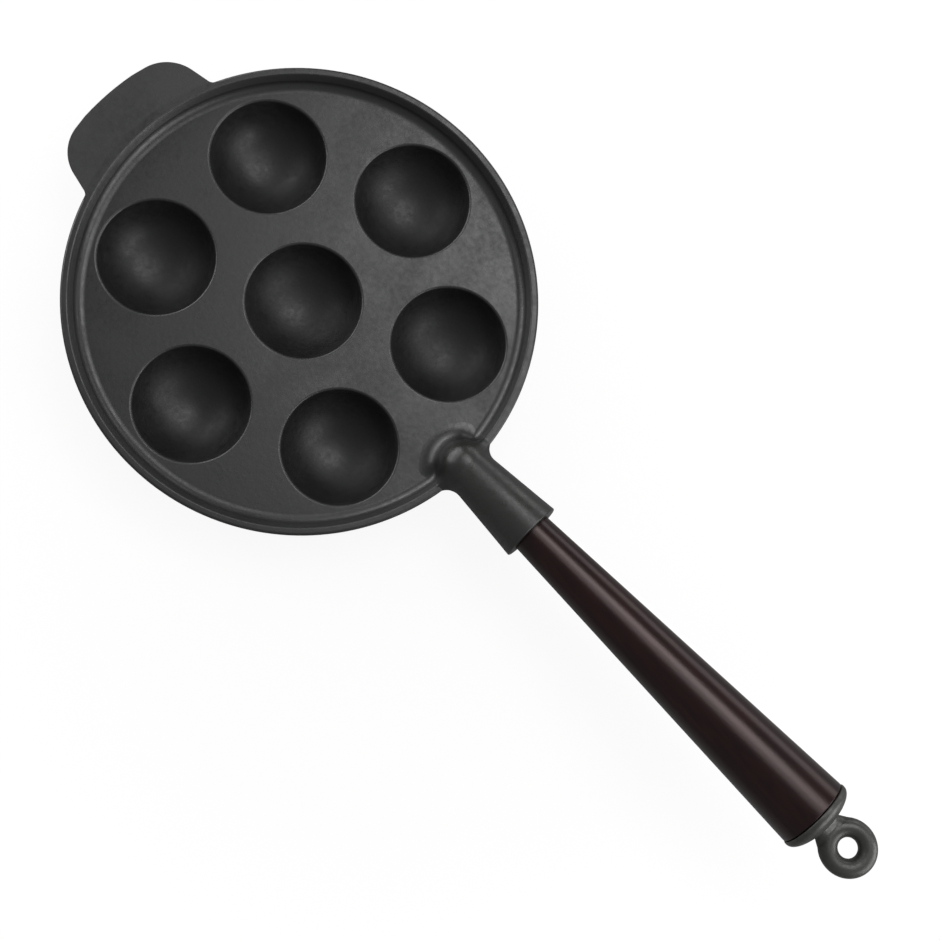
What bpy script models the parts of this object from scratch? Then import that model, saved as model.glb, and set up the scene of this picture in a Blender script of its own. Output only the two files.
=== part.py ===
# Cast iron aebleskiver pan with a turned wooden handle.
# Metres, +Z up. The pan stands on z = 0, its centre is on the Z axis,
# and the handle points along +X and rises a little.

import bpy
import bmesh
import math
from mathutils import Matrix, Vector

OBJECT_NAME = "aebleskiver_pan"

# Rim and plate
RIM_RADIUS = 0.1004
RIM_HEIGHT = 0.0063
RIM_TOP_WIDTH = 0.0034
RIM_INNER_ROUND = 0.0008
RIM_OUTER_ROUND = 0.0012
RIM_INNER_LEAN = 0.0014
RIM_OUTER_LEAN = 0.0016
RIM_FOOT_FILLET = 0.0045
PLATE_THICKNESS = 0.0045
PLATE_EDGE_ROUND = 0.0015
RIM_STEPS = 80

# Seven wells: one in the middle and six on a ring
WELL_RING_RADIUS = 0.0646
RING_WELLS = 6
WELL_RADIUS = 0.0246
WELL_DEPTH = 0.0225
WELL_WALL = 0.0040
WELL_MOUTH_ROUND = 0.0012
CUP_ROOT_FILLET = 0.0022
CUP_FLAT_RADIUS = 0.0065
WELL_STEPS = 28
WELL_ROWS = 6

# Helper tab opposite the handle
TAB_REACH = 0.0187
TAB_ROOT_HALF_WIDTH = 0.0355
TAB_END_HALF_WIDTH = 0.0310
TAB_THICKNESS = 0.0060
TAB_CORNER_RADIUS = 0.0180
TAB_ROOT_FILLET = 0.0035
TAB_EDGE_ROUND = 0.0013
TAB_OVERLAP = 0.0016
TAB_CREST_SHARES = (0.42, 0.21, 0.0, -0.21, -0.42)

# Line of the handle, over the edge of the rim
HANDLE_RISE = math.radians(9.0)
HANDLE_AXIS_HEIGHT = 0.0060

# Cast socket, measured along the handle's line from the edge of the rim
SOCKET_LENGTH = 0.0380
SOCKET_ROOT_RADIUS = 0.0102
SOCKET_MOUTH_RADIUS = 0.01355
SOCKET_MOUTH_ROUND = 0.0006
SOCKET_FILLET = 0.0048
FILLET_ROWS_SHARE = 1.2
NOSE_REACH = 0.0168
SOCKET_DEPTH = 0.0240
SOCKET_SIDES = 32
NOSE_ROWS = 6
ROOT_ROWS = 14

# Turned wooden handle
WOOD_LENGTH = 0.1587
WOOD_NECK_RADIUS = 0.0091
WOOD_END_RADIUS = 0.0160
WOOD_END_ROUND = 0.0006
TENON_TAPER = 0.0010
WOOD_BORE_RADIUS = 0.0036
WOOD_STEPS = 36

# Threaded tie rod
ROD_RADIUS = 0.003175
ROD_CHAMFER = 0.0006
THREAD_PITCH = 0.00127
THREAD_TURNS = 12
ROD_STEPS = 24

# Cast hanging eye that caps the handle
CAP_RADIUS = 0.0164
CAP_LIP = 0.0012
CAP_DOME = 0.0053
CAP_EDGE_ROUND = 0.0005
NECK_RADIUS = 0.0066
NECK_HALF_DEPTH = 0.0058
NECK_START_SHARE = 0.7
NECK_SINK_SHARE = 0.2
NECK_END_DEPTH_SHARE = 0.45
NECK_STRAIGHT_SHARE = 0.25
EYE_HOLE_RADIUS = 0.0041
EYE_OUTER_RADIUS = 0.0119
EYE_CENTRE_REACH = 0.0187
ROD_HOLE_DEPTH = 0.0102
CAP_STEPS = 36
CAP_ROWS = 5
EYE_STEPS = 36
EYE_SIDES = 14
NECK_SIDES = 24
NECK_ROWS = 6

# Fits
FIT_GAP = 0.0003
OVERRUN = 0.0030
MERGE = 0.00001
SMOOTH_ANGLE = math.radians(32.0)
FLAT_ANGLE = math.radians(0.05)

# Places that follow from the sizes
PLATE_TOP = WELL_DEPTH + WELL_WALL
PLATE_UNDER = PLATE_TOP - PLATE_THICKNESS
RIM_TOP = PLATE_TOP + RIM_HEIGHT
SOCKET_FLOOR = SOCKET_LENGTH - SOCKET_DEPTH
THREAD_LENGTH = THREAD_PITCH * THREAD_TURNS
WOOD_TOP = SOCKET_LENGTH + WOOD_LENGTH
CAP_SEAT = WOOD_TOP + FIT_GAP
AXIS_START = Vector((RIM_RADIUS, 0.0, PLATE_TOP + HANDLE_AXIS_HEIGHT))
AXIS_ALONG = Vector((math.cos(HANDLE_RISE), 0.0, math.sin(HANDLE_RISE)))
AXIS_UP = Vector((-math.sin(HANDLE_RISE), 0.0, math.cos(HANDLE_RISE)))
AXIS_SIDE = Vector((0.0, 1.0, 0.0))


# Scene and collections

def clear_scene():
    for obj in list(bpy.data.objects):
        bpy.data.objects.remove(obj, do_unlink=True)


def make_collection(name):
    collection = bpy.data.collections.new(name)
    bpy.context.scene.collection.children.link(collection)
    return collection


def make_material(name, colour, roughness, metallic):
    material = bpy.data.materials.new(name)
    material.use_nodes = True
    shader = material.node_tree.nodes["Principled BSDF"]
    shader.inputs["Base Color"].default_value = (*colour, 1.0)
    shader.inputs["Roughness"].default_value = roughness
    shader.inputs["Metallic"].default_value = metallic
    return material


def add_object(name, mesh, collection, parent=None):
    obj = bpy.data.objects.new(name, mesh)
    collection.objects.link(obj)
    if parent is not None:
        obj.parent = parent
    return obj


def make_cutter(obj):
    obj.hide_render = True
    obj.display_type = "WIRE"
    shade_round(obj.data)
    return obj


def shade_round(mesh):
    mesh.shade_smooth()
    mesh.set_sharp_from_angle(angle=SMOOTH_ANGLE)


# Outlines

def arc(centre, radius, start, end, steps):
    points = []
    for step in range(steps + 1):
        angle = math.radians(start + (end - start) * step / steps)
        points.append((centre[0] + radius * math.cos(angle), centre[1] + radius * math.sin(angle)))
    return points


def rounded_corner(before, corner, after, radius, steps):
    # The arc of the given radius that is tangent to both sides of a corner
    corner = Vector(corner)
    to_before = (Vector(before) - corner).normalized()
    to_after = (Vector(after) - corner).normalized()
    half = to_before.angle(to_after) / 2.0
    centre = corner + (to_before + to_after).normalized() * (radius / math.sin(half))
    start = corner + to_before * (radius / math.tan(half)) - centre
    sweep = start.angle_signed(corner + to_after * (radius / math.tan(half)) - centre)
    points = []
    for step in range(steps + 1):
        angle = -sweep * step / steps
        points.append(tuple(centre + Matrix.Rotation(angle, 2) @ start))
    return points


# Solids

def turned_mesh(name, profile, steps, closed=False):
    # Profile points are (radius, height), from the top down the outer side
    mesh = bpy.data.meshes.new(name + "_profile")
    edges = [(i, i + 1) for i in range(len(profile) - 1)]
    if closed:
        edges.append((len(profile) - 1, 0))
    mesh.from_pydata([(r, 0.0, z) for r, z in profile], edges, [])
    source = bpy.data.objects.new(name + "_profile", mesh)
    bpy.context.scene.collection.objects.link(source)
    screw = source.modifiers.new("Turn", "SCREW")
    screw.steps = steps
    screw.render_steps = steps
    screw.use_merge_vertices = True
    screw.merge_threshold = MERGE
    bpy.context.view_layer.update()
    depsgraph = bpy.context.evaluated_depsgraph_get()
    result = bpy.data.meshes.new_from_object(source.evaluated_get(depsgraph))
    result.name = name
    bpy.data.objects.remove(source, do_unlink=True)
    join_flat_faces(result)
    return result


def join_flat_faces(mesh):
    bm = bmesh.new()
    bm.from_mesh(mesh)
    bmesh.ops.remove_doubles(bm, verts=bm.verts, dist=MERGE)
    bmesh.ops.dissolve_limit(bm, angle_limit=FLAT_ANGLE, verts=bm.verts, edges=bm.edges)
    bm.to_mesh(mesh)
    bm.free()


def loft_mesh(name, rings, start_point=None):
    # Closed skin through rings with equal numbers of points
    bm = bmesh.new()
    loops = [[bm.verts.new(point) for point in ring] for ring in rings]
    count = len(loops[0])
    for lower, upper in zip(loops, loops[1:]):
        for i in range(count):
            j = (i + 1) % count
            bm.faces.new((lower[i], lower[j], upper[j], upper[i]))
    bm.faces.new(loops[-1])
    if start_point is None:
        bm.faces.new(reversed(loops[0]))
    else:
        tip = bm.verts.new(start_point)
        for i in range(count):
            bm.faces.new((tip, loops[0][(i + 1) % count], loops[0][i]))
    bmesh.ops.recalc_face_normals(bm, faces=bm.faces)
    mesh = bpy.data.meshes.new(name)
    bm.to_mesh(mesh)
    bm.free()
    return mesh


def copies_mesh(name, mesh, places):
    # One mesh with a copy of a shape at each place
    bm = bmesh.new()
    for x, y in places:
        start = len(bm.verts)
        bm.from_mesh(mesh)
        bm.verts.ensure_lookup_table()
        bmesh.ops.translate(bm, vec=Vector((x, y, PLATE_TOP)), verts=bm.verts[start:])
    result = bpy.data.meshes.new(name)
    bm.to_mesh(result)
    bm.free()
    return result


def add_boolean(obj, operand, operation, may_touch=False):
    # Copies in one operand may run into each other when the sizes change
    modifier = obj.modifiers.new(operand.name, "BOOLEAN")
    modifier.operation = operation
    modifier.solver = "EXACT"
    modifier.use_self = may_touch
    modifier.object = operand
    return modifier


def finish_body(obj, material):
    # Flat faces are joined again after the cuts, then the round ones are shaded smooth
    flat = obj.modifiers.new("Join flat faces", "DECIMATE")
    flat.decimate_type = "DISSOLVE"
    flat.angle_limit = FLAT_ANGLE
    obj.data.materials.clear()
    obj.data.materials.append(material)
    shade_round(obj.data)


# Pan casting

def disc_profile():
    # Plate and rim, from the middle of the top out over the rim to the middle underneath
    wall_top = RIM_RADIUS - RIM_TOP_WIDTH
    foot = wall_top - RIM_INNER_LEAN - RIM_FOOT_FILLET
    profile = [(0.0, PLATE_TOP)]
    profile += arc((foot, PLATE_TOP + RIM_FOOT_FILLET), RIM_FOOT_FILLET, -90.0, -10.0, 5)
    profile += arc((wall_top + RIM_INNER_ROUND, RIM_TOP - RIM_INNER_ROUND),
                   RIM_INNER_ROUND, 165.0, 90.0, 2)
    profile += arc((RIM_RADIUS - RIM_OUTER_ROUND, RIM_TOP - RIM_OUTER_ROUND),
                   RIM_OUTER_ROUND, 90.0, 0.0, 3)
    edge = RIM_RADIUS - RIM_OUTER_LEAN - PLATE_EDGE_ROUND
    profile += arc((edge, PLATE_UNDER + PLATE_EDGE_ROUND), PLATE_EDGE_ROUND, 0.0, -90.0, 3)
    profile.append((0.0, PLATE_UNDER))
    return profile


def well_places():
    places = [(0.0, 0.0)]
    for index in range(RING_WELLS):
        angle = 2.0 * math.pi * (index + 0.5) / RING_WELLS
        places.append((WELL_RING_RADIUS * math.cos(angle), WELL_RING_RADIUS * math.sin(angle)))
    return places


def cup_profile():
    # Outside of one cup, heights from the top of the plate, ending on its standing flat
    radius = WELL_RADIUS + WELL_WALL
    flat_angle = math.acos(CUP_FLAT_RADIUS / radius)
    reach = (PLATE_TOP - WELL_MOUTH_ROUND) / math.sin(flat_angle)
    fillet_foot = PLATE_THICKNESS + CUP_ROOT_FILLET
    first_angle = math.asin((fillet_foot - WELL_MOUTH_ROUND) / reach)
    side = radius * math.cos(first_angle)
    buried = -PLATE_THICKNESS / 2.0
    profile = [(0.0, buried), (side + CUP_ROOT_FILLET, buried)]
    profile += arc((side + CUP_ROOT_FILLET, -fillet_foot), CUP_ROOT_FILLET, 90.0, 180.0, 2)
    for row in range(1, WELL_ROWS + 1):
        angle = first_angle + (flat_angle - first_angle) * row / WELL_ROWS
        profile.append((radius * math.cos(angle), -WELL_MOUTH_ROUND - reach * math.sin(angle)))
    profile.append((0.0, -PLATE_TOP))
    return profile


def well_profile():
    # Inside of one well, heights from the top of the plate
    mouth = WELL_RADIUS + WELL_MOUTH_ROUND
    profile = [(0.0, OVERRUN), (mouth, OVERRUN)]
    profile += arc((mouth, -WELL_MOUTH_ROUND), WELL_MOUTH_ROUND, 90.0, 180.0, 2)
    for row in range(1, WELL_ROWS + 1):
        angle = math.pi / 2.0 * row / WELL_ROWS
        depth = WELL_MOUTH_ROUND + (WELL_DEPTH - WELL_MOUTH_ROUND) * math.sin(angle)
        radius = WELL_RADIUS * math.cos(angle) if row < WELL_ROWS else 0.0
        profile.append((radius, -depth))
    return profile


def tab_outline():
    # Seen from above: sides that draw in, a crest that follows the rim, round corners
    end_radius = RIM_RADIUS + TAB_REACH
    root_angle = math.asin(TAB_ROOT_HALF_WIDTH / RIM_RADIUS)
    end_angle = math.asin(TAB_END_HALF_WIDTH / end_radius)
    inner_radius = RIM_RADIUS - TAB_OVERLAP
    skirt_angle = root_angle + 2.0 * TAB_ROOT_FILLET / RIM_RADIUS

    def at(radius, angle):
        return (-radius * math.cos(angle), radius * math.sin(angle))

    crest = [at(end_radius, end_angle * share) for share in TAB_CREST_SHARES]
    left = [at(inner_radius, skirt_angle)]
    left += rounded_corner(left[0], at(RIM_RADIUS, root_angle), at(end_radius, end_angle),
                           TAB_ROOT_FILLET, 4)
    left += rounded_corner(at(RIM_RADIUS, root_angle), at(end_radius, end_angle), crest[0],
                           TAB_CORNER_RADIUS, 6)
    right = [(x, -y) for x, y in reversed(left)]
    back = [at(inner_radius, skirt_angle * share / 4.0) for share in range(-3, 4)]
    return left + crest + right + back


def make_tab(collection):
    outline = tab_outline()
    bm = bmesh.new()
    bottom = RIM_TOP - TAB_THICKNESS
    face = bm.faces.new([bm.verts.new((x, y, bottom)) for x, y in outline])
    top = bmesh.ops.extrude_face_region(bm, geom=[face])["geom"]
    lifted = [item for item in top if isinstance(item, bmesh.types.BMVert)]
    bmesh.ops.translate(bm, vec=Vector((0.0, 0.0, TAB_THICKNESS)), verts=lifted)
    bmesh.ops.recalc_face_normals(bm, faces=bm.faces)
    buried = RIM_RADIUS - TAB_OVERLAP / 2.0

    def is_free(edge):
        flat = abs(edge.verts[0].co.z - edge.verts[1].co.z) < MERGE
        return flat and all(vert.co.xy.length > buried for vert in edge.verts)

    edges = [edge for edge in bm.edges if is_free(edge)]
    bmesh.ops.bevel(bm, geom=edges, offset=TAB_EDGE_ROUND, segments=2, profile=0.5,
                    affect="EDGES", clamp_overlap=True)
    mesh = bpy.data.meshes.new("tab_form")
    bm.to_mesh(mesh)
    bm.free()
    return make_cutter(add_object("tab_form", mesh, collection))


def distance_to_outline(radius, height, outline):
    # Distance from a point to a closed outline, zero for a point inside it
    inside = False
    nearest = None
    for (r0, z0), (r1, z1) in zip(outline, outline[1:] + outline[:1]):
        if (z0 > height) != (z1 > height):
            if radius < r0 + (height - z0) * (r1 - r0) / (z1 - z0):
                inside = not inside
        along = Vector((r1 - r0, z1 - z0))
        offset = Vector((radius - r0, height - z0))
        share = 0.0
        if along.length_squared > 0.0:
            share = max(0.0, min(1.0, offset.dot(along) / along.length_squared))
        gap = (offset - along * share).length
        nearest = gap if nearest is None else min(nearest, gap)
    return 0.0 if inside else nearest


def fillet_width(gap):
    # How far a round fillet stands off a wall at a gap above its other wall
    if gap >= SOCKET_FILLET:
        return 0.0
    rest = SOCKET_FILLET - gap
    return SOCKET_FILLET - math.sqrt(SOCKET_FILLET ** 2 - rest ** 2)


def fillet_share(height):
    # The fillet is whole above the plate and runs out at its underside
    share = max(0.0, min(1.0, (height - PLATE_UNDER) / PLATE_THICKNESS))
    return share * share * (3.0 - 2.0 * share)


def socket_rows():
    # Rows of the socket as (place along the line, radius, lean of the surface)
    rows = []
    ball_centre = SOCKET_ROOT_RADIUS - NOSE_REACH
    for row in range(1, NOSE_ROWS):
        lean = math.pi / 2.0 * (1.0 - row / NOSE_ROWS)
        place = ball_centre - SOCKET_ROOT_RADIUS * math.sin(lean)
        rows.append((place, SOCKET_ROOT_RADIUS * math.cos(lean), lean))
    root_end = SOCKET_FILLET * FILLET_ROWS_SHARE
    for row in range(ROOT_ROWS + 1):
        place = ball_centre + (root_end - ball_centre) * row / ROOT_ROWS
        rows.append((place, socket_radius(place), 0.0))
    round_start = SOCKET_LENGTH - SOCKET_MOUTH_ROUND
    rows.append(((root_end + round_start) / 2.0, socket_radius((root_end + round_start) / 2.0), 0.0))
    for place, inset in arc((round_start, SOCKET_MOUTH_ROUND), SOCKET_MOUTH_ROUND, -90.0, 0.0, 2):
        rows.append((place, SOCKET_MOUTH_RADIUS - inset, 0.0))
    return rows


def socket_radius(place):
    share = max(0.0, place / SOCKET_LENGTH)
    return SOCKET_ROOT_RADIUS + (SOCKET_MOUTH_RADIUS - SOCKET_ROOT_RADIUS) * share


def make_socket(collection):
    # Socket with a ball nose inside the rim; its surface swells into a round
    # fillet where it comes near the plate and the rim
    outline = disc_profile()

    def swollen(point, normal):
        gap = distance_to_outline(point.xy.length, point.z, outline)
        return point + normal * fillet_width(gap) * fillet_share(point.z)

    rings = []
    for place, radius, lean in socket_rows():
        ring = []
        for side in range(SOCKET_SIDES):
            angle = 2.0 * math.pi * side / SOCKET_SIDES
            spoke = AXIS_UP * math.cos(angle) + AXIS_SIDE * math.sin(angle)
            normal = spoke * math.cos(lean) - AXIS_ALONG * math.sin(lean)
            ring.append(swollen(AXIS_START + AXIS_ALONG * place + spoke * radius, normal))
        rings.append(ring)
    tip = swollen(AXIS_START - AXIS_ALONG * NOSE_REACH, -AXIS_ALONG)
    mesh = loft_mesh("socket_form", rings, tip)
    return make_cutter(add_object("socket_form", mesh, collection))


def bore_profile():
    # Room for the handle's tenon and for the threaded end of the rod
    mouth = WOOD_NECK_RADIUS + FIT_GAP
    rod = ROD_RADIUS + FIT_GAP
    return [
        (0.0, SOCKET_LENGTH + OVERRUN),
        (mouth, SOCKET_LENGTH + OVERRUN),
        (mouth, SOCKET_LENGTH),
        (mouth - TENON_TAPER, SOCKET_FLOOR),
        (rod, SOCKET_FLOOR),
        (rod, SOCKET_FLOOR - THREAD_LENGTH),
        (0.0, SOCKET_FLOOR - THREAD_LENGTH),
    ]


def make_pan_casting(parts, cutters, axis, material):
    pan = add_object("pan_casting", turned_mesh("pan_casting", disc_profile(), RIM_STEPS), parts)
    cups = copies_mesh("cups_form", turned_mesh("cup", cup_profile(), WELL_STEPS), well_places())
    wells = copies_mesh("well_cutter", turned_mesh("well", well_profile(), WELL_STEPS), well_places())
    bore = turned_mesh("bore_cutter", bore_profile(), ROD_STEPS)
    add_boolean(pan, make_tab(cutters), "UNION")
    add_boolean(pan, make_socket(cutters), "UNION")
    add_boolean(pan, make_cutter(add_object("cups_form", cups, cutters)), "UNION", may_touch=True)
    add_boolean(pan, make_cutter(add_object("well_cutter", wells, cutters)), "DIFFERENCE", may_touch=True)
    add_boolean(pan, make_cutter(add_object("bore_cutter", bore, cutters, axis)), "DIFFERENCE")
    finish_body(pan, material)
    return pan


# Wooden handle

def wood_profile():
    # Closed outline from the end under the cap down to the end of the tenon, then up the bore
    top = WOOD_TOP
    tenon_end = SOCKET_FLOOR + FIT_GAP
    profile = [(WOOD_BORE_RADIUS, top)]
    profile += arc((WOOD_END_RADIUS - WOOD_END_ROUND, top - WOOD_END_ROUND),
                   WOOD_END_ROUND, 90.0, 0.0, 2)
    profile.append((WOOD_NECK_RADIUS, SOCKET_LENGTH))
    profile.append((WOOD_NECK_RADIUS - TENON_TAPER, tenon_end))
    profile.append((WOOD_BORE_RADIUS, tenon_end))
    return profile


def make_wooden_handle(parts, axis, material):
    mesh = turned_mesh("wooden_handle", wood_profile(), WOOD_STEPS, closed=True)
    handle = add_object("wooden_handle", mesh, parts, axis)
    finish_body(handle, material)
    return handle


# Tie rod

def rod_profile():
    top = CAP_SEAT + ROD_HOLE_DEPTH - FIT_GAP
    bottom = SOCKET_FLOOR - THREAD_LENGTH + FIT_GAP
    inner = ROD_RADIUS - ROD_CHAMFER
    return [
        (0.0, top),
        (inner, top),
        (ROD_RADIUS, top - ROD_CHAMFER),
        (ROD_RADIUS, bottom + ROD_CHAMFER),
        (inner, bottom),
        (0.0, bottom),
    ]


def make_tie_rod(parts, axis, material):
    rod = add_object("tie_rod", turned_mesh("tie_rod", rod_profile(), ROD_STEPS), parts, axis)
    finish_body(rod, material)
    return rod


# Hanging eye

def cap_profile():
    # Thin lip and a low dome, solid up to the neck
    dome_angle = math.acos(NECK_RADIUS / CAP_RADIUS)
    profile = [(0.0, CAP_SEAT + CAP_LIP + CAP_DOME)]
    for row in range(CAP_ROWS, -1, -1):
        angle = dome_angle * row / CAP_ROWS
        height = CAP_DOME * math.sin(angle) / math.sin(dome_angle)
        profile.append((CAP_RADIUS * math.cos(angle), CAP_SEAT + CAP_LIP + height))
    profile.append((CAP_RADIUS, CAP_SEAT + CAP_EDGE_ROUND))
    profile.append((CAP_RADIUS - CAP_EDGE_ROUND, CAP_SEAT))
    profile.append((0.0, CAP_SEAT))
    return profile


def neck_rows():
    # From inside the dome to inside the ring: wider in plan, thinner in depth
    tube = (EYE_OUTER_RADIUS - EYE_HOLE_RADIUS) / 2.0
    sink = tube * NECK_SINK_SHARE
    start = CAP_SEAT + CAP_LIP + CAP_DOME * NECK_START_SHARE
    end = CAP_SEAT + EYE_CENTRE_REACH - EYE_HOLE_RADIUS - sink
    end_width = math.sqrt(EYE_OUTER_RADIUS ** 2 - (EYE_HOLE_RADIUS + sink) ** 2)
    end_depth = tube * NECK_END_DEPTH_SHARE
    rows = []
    for row in range(NECK_ROWS + 1):
        share = row / NECK_ROWS
        growth = max(0.0, share - NECK_STRAIGHT_SHARE) / (1.0 - NECK_STRAIGHT_SHARE)
        width = NECK_RADIUS + (end_width - NECK_RADIUS) * growth
        depth = NECK_HALF_DEPTH + (end_depth - NECK_HALF_DEPTH) * share
        rows.append((start + (end - start) * share, width, depth))
    return rows


def make_neck(cutters, axis):
    rings = []
    for place, width, depth in neck_rows():
        ring = []
        for side in range(NECK_SIDES):
            angle = 2.0 * math.pi * side / NECK_SIDES
            ring.append((depth * math.cos(angle), width * math.sin(angle), place))
        rings.append(ring)
    return make_cutter(add_object("neck_form", loft_mesh("neck_form", rings), cutters, axis))


def make_ring(cutters, axis):
    # The eye's round ring lies flat, with its hole standing upright
    tube = (EYE_OUTER_RADIUS - EYE_HOLE_RADIUS) / 2.0
    bpy.ops.mesh.primitive_torus_add(
        major_radius=EYE_HOLE_RADIUS + tube, minor_radius=tube,
        major_segments=EYE_STEPS, minor_segments=EYE_SIDES)
    ring = bpy.context.object
    ring.name = "ring_form"
    ring.data.transform(Matrix.Rotation(math.pi / 2.0, 4, "Y"))
    ring.data.transform(Matrix.Translation((0.0, 0.0, CAP_SEAT + EYE_CENTRE_REACH)))
    for collection in list(ring.users_collection):
        collection.objects.unlink(ring)
    cutters.objects.link(ring)
    ring.parent = axis
    return make_cutter(ring)


def rod_hole_profile():
    radius = ROD_RADIUS + FIT_GAP
    top = CAP_SEAT + ROD_HOLE_DEPTH
    bottom = CAP_SEAT - OVERRUN
    return [(0.0, top), (radius, top), (radius, bottom), (0.0, bottom)]


def make_hanging_eye(parts, cutters, axis, material):
    eye = add_object("hanging_eye", turned_mesh("hanging_eye", cap_profile(), CAP_STEPS), parts, axis)
    hole = turned_mesh("rod_hole_cutter", rod_hole_profile(), ROD_STEPS)
    add_boolean(eye, make_neck(cutters, axis), "UNION")
    add_boolean(eye, make_ring(cutters, axis), "UNION")
    add_boolean(eye, make_cutter(add_object("rod_hole_cutter", hole, cutters, axis)), "DIFFERENCE")
    finish_body(eye, material)
    return eye


def make_handle_axis(collection):
    # Empty at the edge of the rim whose Z runs along the handle
    axis = bpy.data.objects.new("handle_axis", None)
    axis.location = AXIS_START
    axis.rotation_euler = (0.0, math.pi / 2.0 - HANDLE_RISE, 0.0)
    collection.objects.link(axis)
    return axis


def main():
    clear_scene()
    parts = make_collection(OBJECT_NAME)
    cutters = make_collection("cutters")
    axis = make_handle_axis(parts)
    iron = make_material("seasoned cast iron", (0.055, 0.056, 0.057), 0.55, 0.6)
    wood = make_material("lacquered red brown wood", (0.070, 0.028, 0.024), 0.35, 0.0)
    grey = make_material("grey cast iron", (0.080, 0.083, 0.078), 0.55, 0.6)
    steel = make_material("bright steel rod", (0.45, 0.45, 0.44), 0.35, 1.0)
    make_pan_casting(parts, cutters, axis, iron)
    make_wooden_handle(parts, axis, wood)
    make_tie_rod(parts, axis, steel)
    make_hanging_eye(parts, cutters, axis, grey)
    bpy.context.view_layer.update()


main()
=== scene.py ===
# %% [markdown]
# # An aebleskiver pan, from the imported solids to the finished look
# The solids of this pan already stand in one frame: metres, +Z up, the pan's centre
# on the Z axis and the handle along +X. This lesson gives each of them its real surface.
# Every finished piece lies exactly where its solid lies and moves with the same body.

# %% Load the frame
import math
import bpy
import bmesh
import numpy as np
from mathutils import Matrix, Vector


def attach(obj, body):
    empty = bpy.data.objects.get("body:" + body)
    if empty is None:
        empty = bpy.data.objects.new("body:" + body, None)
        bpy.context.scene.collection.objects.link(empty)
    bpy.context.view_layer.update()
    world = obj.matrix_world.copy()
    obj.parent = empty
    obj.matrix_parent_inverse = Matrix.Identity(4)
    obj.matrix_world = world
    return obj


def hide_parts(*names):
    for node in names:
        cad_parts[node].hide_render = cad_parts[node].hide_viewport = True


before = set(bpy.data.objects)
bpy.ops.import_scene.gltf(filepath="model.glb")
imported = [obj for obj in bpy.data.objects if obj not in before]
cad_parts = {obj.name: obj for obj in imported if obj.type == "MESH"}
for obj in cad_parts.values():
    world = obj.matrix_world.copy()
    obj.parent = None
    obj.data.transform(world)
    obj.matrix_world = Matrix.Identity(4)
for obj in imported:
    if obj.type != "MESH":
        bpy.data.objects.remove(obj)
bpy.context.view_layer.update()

print("nodes:", sorted(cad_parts))

# %% [markdown]
# ## The camera
# The picture is taken from above with a 50 mm lens, a little more than half a metre over
# the pan. The camera looks at a point near the root of the handle and is rolled until
# the handle runs to the lower right corner. Setting it up first means that every later
# choice can be judged in the final frame.

# %% Place the camera
CAMERA_PLACE = Vector((0.0997, -0.0702, 0.5797))
CAMERA_TARGET = Vector((0.1013, 0.0011, 0.0265))
CAMERA_ROLL = math.radians(47.364)
LENS = 50.0
SENSOR = 36.0


def add_object(name, data):
    added = bpy.data.objects.new(name, data)
    bpy.context.scene.collection.objects.link(added)
    return added


def make_camera():
    data = bpy.data.cameras.new("camera")
    data.lens = LENS
    data.sensor_width = SENSOR
    camera = add_object("camera", data)
    facing = (CAMERA_TARGET - CAMERA_PLACE).to_track_quat("-Z", "Y").to_matrix().to_4x4()
    roll = Matrix.Rotation(CAMERA_ROLL, 4, "Z")
    camera.matrix_world = Matrix.Translation(CAMERA_PLACE) @ facing @ roll
    return camera


bpy.context.scene.camera = make_camera()
bpy.context.scene.view_settings.view_transform = "Standard"
print("camera height over the plate, m:", round(CAMERA_PLACE.z - CAMERA_TARGET.z, 3))

# %% [markdown]
# ## Sizes of the casting
# The same driving sizes as in the solid model, in metres. A finer surface needs the same
# sizes and only more steps, so that it lies on the solid everywhere.

# %% Sizes of the casting
MM = 0.001
RIM_RADIUS = 100.4 * MM
RIM_HEIGHT = 6.3 * MM
RIM_TOP_WIDTH = 3.4 * MM
RIM_INNER_ROUND = 0.8 * MM
RIM_OUTER_ROUND = 1.2 * MM
RIM_INNER_LEAN = 1.4 * MM
RIM_OUTER_LEAN = 1.6 * MM
RIM_FOOT_FILLET = 4.5 * MM
PLATE_THICKNESS = 4.5 * MM
PLATE_EDGE_ROUND = 1.5 * MM
WELL_RING_RADIUS = 64.6 * MM
RING_WELLS = 6
WELL_RADIUS = 24.6 * MM
WELL_DEPTH = 22.5 * MM
WELL_WALL = 4.0 * MM
WELL_MOUTH_ROUND = 1.2 * MM
CUP_ROOT_FILLET = 2.2 * MM
CUP_FLAT_RADIUS = 6.5 * MM
PLATE_TOP = WELL_DEPTH + WELL_WALL
PLATE_UNDER = PLATE_TOP - PLATE_THICKNESS
RIM_TOP = PLATE_TOP + RIM_HEIGHT
OVERRUN = 3.0 * MM
MERGE = 0.01 * MM
print("rim top above the table, mm:", round(RIM_TOP / MM, 2))

# %% [markdown]
# ## Turning a profile
# Rim, wells, cups and handle are all turned shapes. A profile of a few points, with its
# round corners as arcs, goes round the Z axis in a Geometry Nodes tree: the profile is
# swept along a circle, and the points on the axis are merged. One tree serves every
# turned piece, and only its inputs change.

# %% Arcs and rounded corners
CORNER_STEPS = 6


def arc(centre, radius, start, end, steps):
    points = []
    for step in range(steps + 1):
        angle = math.radians(start + (end - start) * step / steps)
        points.append((centre[0] + radius * math.cos(angle), centre[1] + radius * math.sin(angle)))
    return points


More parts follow.
